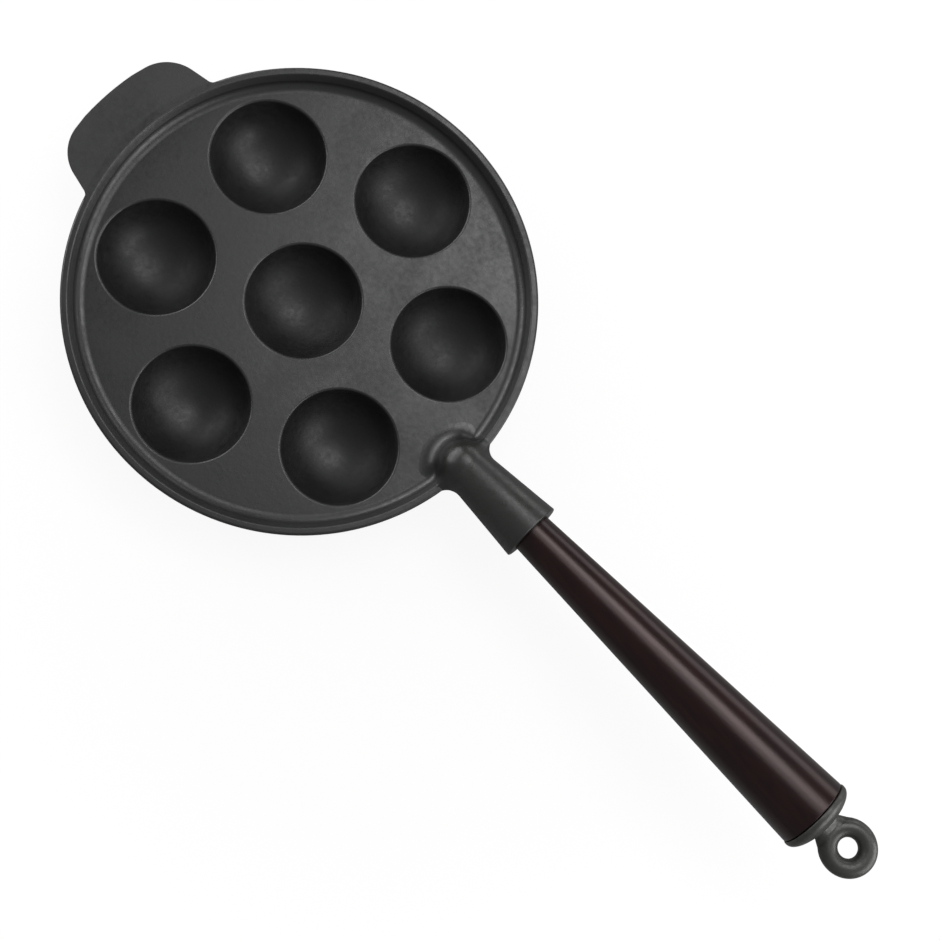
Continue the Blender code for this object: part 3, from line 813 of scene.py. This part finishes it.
rod_steel = bpy.data.materials.new("rod_steel")
rod_mesh = run_tree("tie_rod_fine", make_thread_tree(), {
    "Pitch": THREAD_PITCH, "Depth": THREAD_DEPTH, "Radius": ROD_RADIUS,
    "Lowest": ROD_BOTTOM + ROD_CHAMFER, "Highest": ROD_BOTTOM + THREAD_LENGTH,
    "Material": rod_steel}, turned_mesh("rod_blank", rod_profile(), ROD_STEPS))
rod_mesh.transform(HANDLE_FRAME)
print("thread turns:", round(THREAD_LENGTH / THREAD_PITCH), "faces:", len(rod_mesh.polygons))

# %% [markdown]
# ## Hanging eye
# The eye is cast in one piece: a domed cap that covers the end of the wood, a short neck
# and a round ring. The three forms are fused, laid over with an even net of small faces
# and relaxed only in the hollows between them, which gives the soft fillets of a casting
# and leaves the ring, the dome and the lip at their sizes.

# %% Sizes and forms of the eye
CAP_RADIUS = 16.4 * MM
CAP_LIP = 1.2 * MM
CAP_DOME = 5.3 * MM
CAP_EDGE_ROUND = 0.5 * MM
NECK_RADIUS = 6.6 * MM
NECK_HALF_DEPTH = 5.8 * MM
NECK_START_SHARE = 0.7
NECK_SINK_SHARE = 0.2
NECK_END_DEPTH_SHARE = 0.45
NECK_STRAIGHT_SHARE = 0.25
EYE_HOLE_RADIUS = 4.1 * MM
EYE_OUTER_RADIUS = 11.9 * MM
EYE_CENTRE_REACH = 18.7 * MM
CAP_STEPS = 128
CAP_ROWS = 14
CAP_EDGE_STEPS = 4
EYE_STEPS = 96
EYE_SIDES = 40
NECK_SIDES = 48
NECK_ROWS = 16
EYE_NET = 0.30 * MM
HOLE_MARGIN = 3.0
HOLLOW_CURVE = -110.0
HOLLOW_GROWTH = 4
HOLLOW_ROUNDS = 18
RELAX_SHARE = 0.5


def cap_profile():
    dome_angle = math.acos(NECK_RADIUS / CAP_RADIUS)
    profile = [(0.0, CAP_SEAT + CAP_LIP + CAP_DOME)]
    for row in range(CAP_ROWS, -1, -1):
        angle = dome_angle * row / CAP_ROWS
        height = CAP_DOME * math.sin(angle) / math.sin(dome_angle)
        profile.append((CAP_RADIUS * math.cos(angle), CAP_SEAT + CAP_LIP + height))
    profile += arc((CAP_RADIUS - CAP_EDGE_ROUND, CAP_SEAT + CAP_EDGE_ROUND),
                   CAP_EDGE_ROUND, 0.0, -90.0, CAP_EDGE_STEPS)
    profile.append((0.0, CAP_SEAT))
    return profile


def rod_hole_profile():
    radius = ROD_RADIUS + FIT_GAP
    return [(0.0, CAP_SEAT + ROD_HOLE_DEPTH), (radius, CAP_SEAT + ROD_HOLE_DEPTH),
            (radius, CAP_SEAT - OVERRUN), (0.0, CAP_SEAT - OVERRUN)]


def make_neck_mesh():
    tube = (EYE_OUTER_RADIUS - EYE_HOLE_RADIUS) / 2.0
    sink = tube * NECK_SINK_SHARE
    start = CAP_SEAT + CAP_LIP + CAP_DOME * NECK_START_SHARE
    end = CAP_SEAT + EYE_CENTRE_REACH - EYE_HOLE_RADIUS - sink
    end_width = math.sqrt(EYE_OUTER_RADIUS ** 2 - (EYE_HOLE_RADIUS + sink) ** 2)
    bm = bmesh.new()
    loops = []
    for row in range(NECK_ROWS + 1):
        share = row / NECK_ROWS
        growth = max(0.0, share - NECK_STRAIGHT_SHARE) / (1.0 - NECK_STRAIGHT_SHARE)
        width = NECK_RADIUS + (end_width - NECK_RADIUS) * growth
        depth = NECK_HALF_DEPTH + (tube * NECK_END_DEPTH_SHARE - NECK_HALF_DEPTH) * share
        place = start + (end - start) * share
        angles = [2.0 * math.pi * side / NECK_SIDES for side in range(NECK_SIDES)]
        loops.append([bm.verts.new((depth * math.cos(a), width * math.sin(a), place))
                      for a in angles])
    bridge_loops(bm, loops)
    bm.faces.new(reversed(loops[0]))
    bm.faces.new(loops[-1])
    return finished_mesh("neck", bm)


def make_ring_mesh():
    # A round section turned at the eye's radius, then stood on edge
    tube = (EYE_OUTER_RADIUS - EYE_HOLE_RADIUS) / 2.0
    section = arc((EYE_HOLE_RADIUS + tube, 0.0), tube, 0.0, 360.0, EYE_SIDES)[:-1]
    mesh = turned_mesh("ring", section, EYE_STEPS, closed=True)
    mesh.transform(Matrix.Translation((0.0, 0.0, CAP_SEAT + EYE_CENTRE_REACH))
                   @ Matrix.Rotation(math.pi / 2.0, 4, "Y"))
    return mesh


# %% Fuse the eye and relax its hollows


def make_fusing_tree():
    tree, given = new_geometry_tree("Fused casting", [
        ("Forms", "Geometry"), ("Hole", "Object"), ("Material", "Material")])
    hole = add_node(tree, "GeometryNodeObjectInfo", {"Object": given["Hole"]})
    cut = fused_and_cut(tree, given["Forms"], hole.outputs["Geometry"])
    end_tree(tree, cut, given["Material"])
    return tree


def mean_curves(bm):
    # Positive on convex edges, negative in hollows, in 1/m
    bm.normal_update()
    curves = {}
    for vert in bm.verts:
        area = sum(face.calc_area() / len(face.verts) for face in vert.link_faces)
        bend = 0.0
        for edge in vert.link_edges:
            if len(edge.link_faces) == 2:
                bend += edge.calc_face_angle_signed(0.0) * edge.calc_length()
        curves[vert] = bend / (4.0 * area) if area > 0.0 else 0.0
    return curves


def netted(mesh):
    carrier = add_object("net_carrier", mesh)
    remesh = carrier.modifiers.new("net", "REMESH")
    remesh.mode = "VOXEL"
    remesh.voxel_size = EYE_NET
    return evaluated_mesh(carrier)


def relax(bm, verts):
    bmesh.ops.smooth_vert(bm, verts=verts, factor=RELAX_SHARE, use_axis_x=True,
                          use_axis_y=True, use_axis_z=True)


def relax_hollows(mesh):
    # The walls of the rod's hole stay as they are
    bm = opened(mesh)
    relax(bm, bm.verts)
    curves = mean_curves(bm)
    hole_radius = ROD_RADIUS + FIT_GAP + EYE_NET * HOLE_MARGIN
    hole_top = CAP_SEAT + ROD_HOLE_DEPTH + EYE_NET * HOLE_MARGIN

    def is_free(vert):
        beside_hole = vert.co.xy.length > hole_radius or vert.co.z > hole_top
        return vert.co.z > CAP_SEAT + CAP_LIP and beside_hole

    hollow = {vert for vert in bm.verts if curves[vert] < HOLLOW_CURVE and is_free(vert)}
    for _ in range(HOLLOW_GROWTH):
        hollow |= {edge.other_vert(vert) for vert in hollow for edge in vert.link_edges}
    hollow = [vert for vert in hollow if is_free(vert)]
    for _ in range(HOLLOW_ROUNDS):
        relax(bm, hollow)
    put_back(bm, mesh)
    return len(hollow)


eye_iron = bpy.data.materials.new("grey_cast_iron")
hole_form = add_object("hole_form", turned_mesh("rod_hole", rod_hole_profile(), ROD_STEPS))
eye_blank = joined_mesh("eye_blank", [
    turned_mesh("cap", cap_profile(), CAP_STEPS), make_neck_mesh(), make_ring_mesh()])
eye_mesh = netted(run_tree("eye_forms", make_fusing_tree(), {
    "Hole": hole_form, "Material": eye_iron}, eye_blank))
bpy.data.objects.remove(hole_form, do_unlink=True)
print("eye faces:", len(eye_mesh.polygons), "relaxed corners:", relax_hollows(eye_mesh))
eye_mesh.name = "hanging_eye_fine"
eye_mesh.transform(HANDLE_FRAME)

# %% [markdown]
# ## Finishing the pieces
# Every piece is shaded smooth with sharp edges where two faces meet at a clear angle.
# Weighted normals keep the big flat plate free of streaks. The wear of the edges needs
# to know where they are: each corner stores how strongly the surface bulges there.

# %% Shade, mark the edges and mount
SHARP_ANGLE = math.radians(32.0)
WEAR_START = 90.0
WEAR_FULL = 420.0


def mark_edges(mesh):
    bm = opened(mesh)
    layer = bm.verts.layers.float.new("edge")
    curves = mean_curves(bm)
    for vert in bm.verts:
        near = [curves[edge.other_vert(vert)] for edge in vert.link_edges]
        value = 0.5 * curves[vert] + 0.5 * sum(near) / len(near)
        vert[layer] = max(0.0, min(1.0, (value - WEAR_START) / (WEAR_FULL - WEAR_START)))
    put_back(bm, mesh)


def smooth_shaded(mesh, material):
    mark_edges(mesh)
    mesh.shade_smooth()
    mesh.set_sharp_from_angle(angle=SHARP_ANGLE)
    carrier = add_object("carrier", mesh)
    weighted = carrier.modifiers.new("weighted", "WEIGHTED_NORMAL")
    weighted.keep_sharp = True
    result = evaluated_mesh(carrier)
    result.materials.clear()
    result.materials.append(material)
    return result


def mount(node, mesh, body, material):
    piece = add_object(node + "_fine", smooth_shaded(mesh, material))
    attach(piece, body)
    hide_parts(node)
    print(piece.name, len(piece.data.polygons), "faces on", body)


mount("pan_casting", casting_mesh, "pan", pan_iron)
mount("wooden_handle", wood_mesh, "handle", handle_wood)
mount("tie_rod", rod_mesh, "eye_bolt", rod_steel)
mount("hanging_eye", eye_mesh, "eye_bolt", eye_iron)

# %% [markdown]
# ## Shared surface effects
# A cast and seasoned surface has two scales of life: a slow mottle of the baked-on oil
# and a fine grain from the sand mould. Both come from noise in the object's own
# coordinates, so the pattern stays with the piece when it moves. The group puts out
# masks and a normal, and each material decides what to do with them.

# %% Helpers for materials


def grey(level):
    return (level, level, level, 1.0)


def new_shader_group(name, inputs, outputs):
    tree = bpy.data.node_groups.new(name, "ShaderNodeTree")
    for way, sockets in (("INPUT", inputs), ("OUTPUT", outputs)):
        for label, kind in sockets:
            tree.interface.new_socket(label, in_out=way, socket_type="NodeSocket" + kind)
    given = tree.nodes.new("NodeGroupInput").outputs
    put = tree.nodes.new("NodeGroupOutput").inputs
    return tree, given, put


def noise(tree, vector, scale, detail=2.0, roughness=0.5, distortion=0.0):
    return add_node(tree, "ShaderNodeTexNoise", {
        "Vector": vector, "Scale": scale, "Detail": detail, "Roughness": roughness,
        "Distortion": distortion}).outputs["Fac"]


def spread(tree, value, low, high, to_low=0.0, to_high=1.0):
    return add_node(tree, "ShaderNodeMapRange", {
        "Value": value, "From Min": low, "From Max": high, "To Min": to_low,
        "To Max": to_high}).outputs["Result"]


def mixed(tree, first, second, share):
    return maths(tree, "MULTIPLY_ADD", first, share, times(tree, second, 1.0 - share))


def blend(tree, factor, first, second, kind="MIX"):
    # The node's colour sockets share their names with others, so they go by number
    return add_node(tree, "ShaderNodeMix", {"Factor": factor, 6: first, 7: second},
                    data_type="RGBA", blend_type=kind).outputs[2]


def bumped(tree, height, strength, distance):
    return add_node(tree, "ShaderNodeBump", {
        "Strength": strength, "Distance": distance, "Height": height}).outputs["Normal"]


# %% Group of the cast surface
MOTTLE_SCALE = 420.0
BLOTCH_SCALE = 55.0
GRAIN_SCALE = 1700.0
SAND_SCALE = 480.0
SAND_SHARE = 0.75


def make_cast_group():
    tree, given, put = new_shader_group("Cast surface", [
        ("Vector", "Vector"), ("Grain height", "Float")], [
        ("Mottle", "Float"), ("Blotches", "Float"), ("Normal", "Vector")])
    vector = given["Vector"]
    mottle = spread(tree, noise(tree, vector, MOTTLE_SCALE, 4.0, 0.65), 0.30, 0.70)
    blotches = spread(tree, noise(tree, vector, BLOTCH_SCALE, 2.0, 0.5, 0.4), 0.35, 0.65)
    grain = noise(tree, vector, GRAIN_SCALE, 3.0, 0.6)
    sand = noise(tree, vector, SAND_SCALE, 3.0, 0.6)
    height = mixed(tree, sand, grain, SAND_SHARE)
    tree.links.new(mottle, put["Mottle"])
    tree.links.new(blotches, put["Blotches"])
    tree.links.new(bumped(tree, height, 1.0, given["Grain height"]), put["Normal"])
    return tree


cast_group = make_cast_group()
print("outputs of the group:", [item.name for item in cast_group.interface.items_tree
                                if item.in_out == "OUTPUT"])

# %% Start of a material


def empty_tree(owner):
    owner.use_nodes = True
    owner.node_tree.nodes.clear()
    return owner.node_tree


def start_material(material):
    tree = empty_tree(material)
    shader = add_node(tree, "ShaderNodeBsdfPrincipled")
    add_node(tree, "ShaderNodeOutputMaterial", {"Surface": shader.outputs["BSDF"]})
    place = add_node(tree, "ShaderNodeTexCoord").outputs["Object"]
    return tree, shader.inputs, place


# %% [markdown]
# ## Seasoned iron
# Seasoned iron isn't bare metal: oil has baked into a thin dark coat, so it shines like
# a dark varnish and not like a mirror. The colour is not the same everywhere. Everything
# a little below the plate's top, the wells most of all, and the rim's inner wall get
# painted shade: a darker colour, and a duller surface too. The socket above the rim gets
# a painted sheen: lighter, a little greener and smoother. The tab is made lighter. Each of
# these zones is found by height and by distance from the pan's centre, so one material
# serves the whole casting without a seam. Where an edge stands out, the coat is rubbed
# thin and grey iron shows. The eye is the same kind of casting without the zones.

# %% Zones of the casting
# Painted shade: a little below the plate's top, in the wells and underneath, the colour turns
# darker and the surface duller
WELL_DULL_SHADE_LOW = PLATE_TOP - 1.3 * MM
WELL_DULL_SHADE_HIGH = PLATE_TOP - 0.05 * MM
# Painted sheen: the socket turns lighter and a little greener above the rim
SOCKET_SHEEN_START = RIM_TOP + 0.2 * MM
SOCKET_SHEEN_FULL = RIM_TOP + 4.0 * MM
# Painted shade: the rim's inner wall turns darker and duller
WALL_DULL_SHADE_LOW = PLATE_TOP + 1.6 * MM
WALL_DULL_SHADE_HIGH = RIM_TOP - 0.2 * MM
WALL_DULL_SHADE_RADIUS = RIM_RADIUS - RIM_TOP_WIDTH + 0.6 * MM
WALL_FADE = 1.0 * MM
TAB_FADE = 1.0 * MM


def zone_masks(tree, place):
    across, _, height = add_node(tree, "ShaderNodeSeparateXYZ", {"Vector": place}).outputs
    flat = add_node(tree, "ShaderNodeVectorMath", {0: place, 1: (1.0, 1.0, 0.0)},
                    operation="MULTIPLY").outputs["Vector"]
    radius = add_node(tree, "ShaderNodeVectorMath", {0: flat},
                      operation="LENGTH").outputs["Value"]
    # Mask of the painted shade below the plate's top, mostly the wells
    well = spread(tree, height, WELL_DULL_SHADE_LOW, WELL_DULL_SHADE_HIGH, 1.0, 0.0)
    # Mask of the painted sheen on the socket above the rim
    socket = spread(tree, height, SOCKET_SHEEN_START, SOCKET_SHEEN_FULL)
    above = spread(tree, height, WALL_DULL_SHADE_LOW, WALL_DULL_SHADE_LOW + WALL_FADE)
    below = spread(tree, height, WALL_DULL_SHADE_HIGH, WALL_DULL_SHADE_HIGH - WALL_FADE)
    within = spread(tree, radius, WALL_DULL_SHADE_RADIUS, WALL_DULL_SHADE_RADIUS - WALL_FADE)
    # Mask of the painted shade on the rim's inner wall
    wall_shade = times(tree, above, below, within)
    outside = spread(tree, radius, RIM_RADIUS, RIM_RADIUS + TAB_FADE)
    tab = times(tree, outside, spread(tree, across, 0.0, -RIM_RADIUS / 2.0))
    return well, socket, wall_shade, tab


print("height of the dull wall, mm:", round((WALL_DULL_SHADE_HIGH - WALL_DULL_SHADE_LOW) / MM, 1))

# %% Dress the castings
IRON_GLOSS = 0.62
MOTTLE_SHARE = 0.6
MOTTLE_SPREAD = 0.14
RUBBED_LOW = 0.35
RUBBED_HIGH = 0.85
EDGE_WEAR = 0.15
WEAR_METAL = 0.5
WEAR_ROUGHER = -0.05
# Painted shade: the flat dark colour laid over everything below the plate's top
WELL_SHADE_COLOUR = (0.0075, 0.0076, 0.0077, 1.0)
WELL_ROUGHER = 0.11
# Painted sheen: the lightening and green tint of the socket
SOCKET_SHEEN_TINT = (1.12, 1.15, 1.02, 1.0)
SOCKET_ROUGHER = -0.05
# Painted shade: the darkening of the rim's inner wall
WALL_SHADE_TINT = grey(0.45)
WALL_ROUGHER = 0.14
TAB_TINT = (1.5, 1.5, 1.48, 1.0)
TAB_ROUGHER = 0.0


def zoned(tree, place, colour, rough):
    well, socket, wall_shade, tab = zone_masks(tree, place)
    # Painted shade below the plate's top and on the inner wall, painted sheen on the socket, and a
    # lighter tab
    for mask, kind, tint, rougher in (
            (well, "MIX", WELL_SHADE_COLOUR, WELL_ROUGHER),
            (socket, "MULTIPLY", SOCKET_SHEEN_TINT, SOCKET_ROUGHER),
            (wall_shade, "MULTIPLY", WALL_SHADE_TINT, WALL_ROUGHER),
            (tab, "MULTIPLY", TAB_TINT, TAB_ROUGHER)):
        colour = blend(tree, mask, colour, tint, kind)
        rough = maths(tree, "MULTIPLY_ADD", mask, rougher, rough)
    return colour, rough


def dress_iron(material, dark, light, worn, roughness, grain_height, has_zones):
    tree, shader, place = start_material(material)
    cast = add_node(tree, "ShaderNodeGroup", {"Vector": place, "Grain height": grain_height},
                    node_tree=cast_group).outputs
    shade = mixed(tree, cast["Mottle"], cast["Blotches"], MOTTLE_SHARE)
    colour = blend(tree, shade, dark, light)
    rough = spread(tree, shade, 0.0, 1.0, roughness + MOTTLE_SPREAD, roughness - MOTTLE_SPREAD)
    if has_zones:
        colour, rough = zoned(tree, place, colour, rough)
    edge = add_node(tree, "ShaderNodeAttribute", attribute_name="edge").outputs["Fac"]
    rubbed = spread(tree, cast["Mottle"], RUBBED_LOW, RUBBED_HIGH)
    wear = times(tree, edge, rubbed, EDGE_WEAR)
    tree.links.new(blend(tree, wear, colour, worn), shader["Base Color"])
    tree.links.new(times(tree, wear, WEAR_METAL), shader["Metallic"])
    tree.links.new(maths(tree, "MULTIPLY_ADD", wear, WEAR_ROUGHER, rough), shader["Roughness"])
    tree.links.new(cast["Normal"], shader["Normal"])
    shader["Specular IOR Level"].default_value = IRON_GLOSS
    print(material.name, "has nodes:", len(tree.nodes))


dress_iron(pan_iron, dark=(0.007, 0.0072, 0.0074, 1.0), light=(0.019, 0.0192, 0.0195, 1.0),
           worn=(0.060, 0.060, 0.058, 1.0), roughness=0.38, grain_height=0.07 * MM,
           has_zones=True)
dress_iron(eye_iron, dark=(0.016, 0.017, 0.0145, 1.0), light=(0.040, 0.042, 0.036, 1.0),
           worn=(0.085, 0.085, 0.080, 1.0), roughness=0.42, grain_height=0.08 * MM,
           has_zones=False)

# %% [markdown]
# ## Lacquered wood
# The handle is turned wood under a dark red-brown lacquer. Its grain runs along the
# handle, so the noise is stretched that way: a coarse one for the rings and a fine one
# for the pores, which give a small bump. An image of wood would have to be wrapped round
# the cone, while noise in the object's own coordinates fits any shape.

# %% Dress the wood
WOOD_DARK = (0.0040, 0.0006, 0.0008, 1.0)
WOOD_LIGHT = (0.0105, 0.0020, 0.0022, 1.0)
WOOD_STRETCH = 0.06
WOOD_ROUGHNESS = 0.26
WOOD_GLOSS = 0.48
WOOD_GLOSS_TINT = (1.0, 0.82, 0.82, 1.0)
WOOD_RING_SCALE = 260.0
PORE_SCALE = 1500.0
PORE_STRENGTH = 0.5
PORE_DEPTH = 0.04 * MM


def along_handle(tree, place, stretch):
    return add_node(tree, "ShaderNodeMapping", {
        "Vector": place, "Rotation": (0.0, HANDLE_RISE, 0.0),
        "Scale": (stretch, 1.0, 1.0)}).outputs["Vector"]


def dress_wood(material):
    tree, shader, place = start_material(material)
    vector = along_handle(tree, place, WOOD_STRETCH)
    rings = spread(tree, noise(tree, vector, WOOD_RING_SCALE, 3.0, 0.55, 0.6), 0.35, 0.65)
    pores = noise(tree, vector, PORE_SCALE)
    tree.links.new(blend(tree, rings, WOOD_DARK, WOOD_LIGHT), shader["Base Color"])
    tree.links.new(bumped(tree, pores, PORE_STRENGTH, PORE_DEPTH), shader["Normal"])
    shader["Roughness"].default_value = WOOD_ROUGHNESS
    shader["Specular IOR Level"].default_value = WOOD_GLOSS
    shader["Specular Tint"].default_value = WOOD_GLOSS_TINT
    print(material.name, "has nodes:", len(tree.nodes))


dress_wood(handle_wood)

# %% [markdown]
# ## Drawn steel
# The rod was drawn through a die, which leaves fine streaks along it. The same stretched
# noise as in the wood, only finer, drives its colour, its roughness and a faint bump.

# %% Dress the rod
STEEL_DARK = (0.30, 0.30, 0.29, 1.0)
STEEL_LIGHT = (0.46, 0.46, 0.45, 1.0)
STEEL_STRETCH = 0.05
STEEL_SMOOTH = 0.28
STEEL_ROUGH = 0.42
STREAK_SCALE = 2600.0
STREAK_STRENGTH = 0.4
STREAK_DEPTH = 0.01 * MM


def dress_steel(material):
    tree, shader, place = start_material(material)
    drawn = noise(tree, along_handle(tree, place, STEEL_STRETCH), STREAK_SCALE)
    rough = spread(tree, drawn, 0.2, 0.8, STEEL_SMOOTH, STEEL_ROUGH)
    tree.links.new(blend(tree, drawn, STEEL_DARK, STEEL_LIGHT), shader["Base Color"])
    tree.links.new(rough, shader["Roughness"])
    tree.links.new(bumped(tree, drawn, STREAK_STRENGTH, STREAK_DEPTH), shader["Normal"])
    shader["Metallic"].default_value = 1.0
    print(material.name, "has nodes:", len(tree.nodes))


dress_steel(rod_steel)

# %% [markdown]
# ## White floor
# The pan stands on a plain white sheet. The camera sees a glow that is a little below
# white around the pan and fades to white farther out, and under it a dark paper that
# takes the pan's shadow. All other rays meet a plain grey sheet, so that the white floor
# doesn't flood the cups and the rim with light from below.

# %% Make the floor
FLOOR_HALF = 2.0
FLOOR_STEPS = 4
FLOOR_MIDDLE = (0.10, 0.0, 0.0)
FLOOR_GLOW = 0.90
FLOOR_FADE_START = 0.16
FLOOR_FADE_END = 0.60
PAPER_LEVEL = 0.10
BOUNCE_LEVEL = 0.30


def show_by_ray(tree, output, seen, other):
    # The camera sees one look, and all other rays meet the other
    path = add_node(tree, "ShaderNodeLightPath")
    pick = add_node(tree, "ShaderNodeMixShader", {
        0: path.outputs["Is Camera Ray"], 1: other.outputs[0], 2: seen.outputs[0]})
    add_node(tree, output, {"Surface": pick.outputs[0]})


def make_floor():
    bm = bmesh.new()
    bmesh.ops.create_grid(bm, x_segments=FLOOR_STEPS, y_segments=FLOOR_STEPS, size=FLOOR_HALF)
    floor = add_object("floor", finished_mesh("floor", bm))
    material = bpy.data.materials.new("white_sheet")
    tree = empty_tree(material)
    place = add_node(tree, "ShaderNodeTexCoord").outputs["Object"]
    offset = add_node(tree, "ShaderNodeVectorMath", {0: place, 1: FLOOR_MIDDLE},
                      operation="DISTANCE").outputs["Value"]
    strength = spread(tree, offset, FLOOR_FADE_START, FLOOR_FADE_END, FLOOR_GLOW, 1.0)
    glow = add_node(tree, "ShaderNodeEmission", {"Color": grey(1.0), "Strength": strength})
    paper = add_node(tree, "ShaderNodeBsdfDiffuse", {"Color": grey(PAPER_LEVEL)})
    seen = add_node(tree, "ShaderNodeAddShader", {0: glow.outputs[0], 1: paper.outputs[0]})
    bounce = add_node(tree, "ShaderNodeBsdfDiffuse", {"Color": grey(BOUNCE_LEVEL)})
    show_by_ray(tree, "ShaderNodeOutputMaterial", seen, bounce)
    floor.data.materials.append(material)


make_floor()
print("floor side, m:", 2.0 * FLOOR_HALF)

# %% [markdown]
# ## Room and lamps
# Two soft lamps over the pan give the plate its broad sheen and each well a soft
# highlight. Wide lamps stand at the two ends, beyond the tab and beyond the handle, one
# low and one higher each, and a last low one on the far side. They bring out rim, nose
# and grain. The near side stays without a lamp, so that the walls that face it stay
# dark. The room is white to the camera and a dim grey to all other rays.

# %% World and lamps
LIT_POINT = Vector((0.10, 0.0, 0.03))
ROOM_LEVEL = 0.24
# name, degrees from straight up, degrees round from the handle, distance, width, height, watts
LAMPS = (
    ("overhead", 20.0, 104.0, 0.79, 0.50, 0.50, 1.42),
    ("overhead_far", 28.6, 90.0, 0.88, 0.80, 0.30, 1.75),
    ("handle_low", 78.0, 18.0, 1.2, 1.0, 0.35, 4.1),
    ("handle_high", 58.0, 18.0, 1.2, 1.2, 0.50, 5.2),
    ("tab_low", 78.0, 180.0, 1.2, 1.4, 0.35, 6.4),
    ("tab_high", 60.0, 180.0, 1.2, 1.4, 0.50, 3.7),
    ("far_low", 83.0, 90.0, 1.2, 1.4, 0.50, 3.2),
)


def make_world():
    world = bpy.data.worlds.new("room")
    bpy.context.scene.world = world
    tree = empty_tree(world)
    white = add_node(tree, "ShaderNodeBackground", {"Color": grey(1.0), "Strength": 1.0})
    dim = add_node(tree, "ShaderNodeBackground", {"Color": grey(1.0), "Strength": ROOM_LEVEL})
    show_by_ray(tree, "ShaderNodeOutputWorld", white, dim)


def make_lamp(name, from_top, turn, distance, width, height, watts):
    data = bpy.data.lights.new(name, "AREA")
    data.shape = "RECTANGLE"
    data.size = width
    data.size_y = height
    data.energy = watts
    lamp = add_object(name, data)
    lean = math.radians(from_top)
    turn = math.radians(turn)
    towards = Vector((math.sin(lean) * math.cos(turn), math.sin(lean) * math.sin(turn),
                      math.cos(lean)))
    lamp.location = LIT_POINT + towards * distance
    lamp.rotation_euler = towards.to_track_quat("Z", "Y").to_euler()


make_world()
for lamp_sizes in LAMPS:
    make_lamp(*lamp_sizes)
print("lamps:", ", ".join(lamp[0] for lamp in LAMPS))
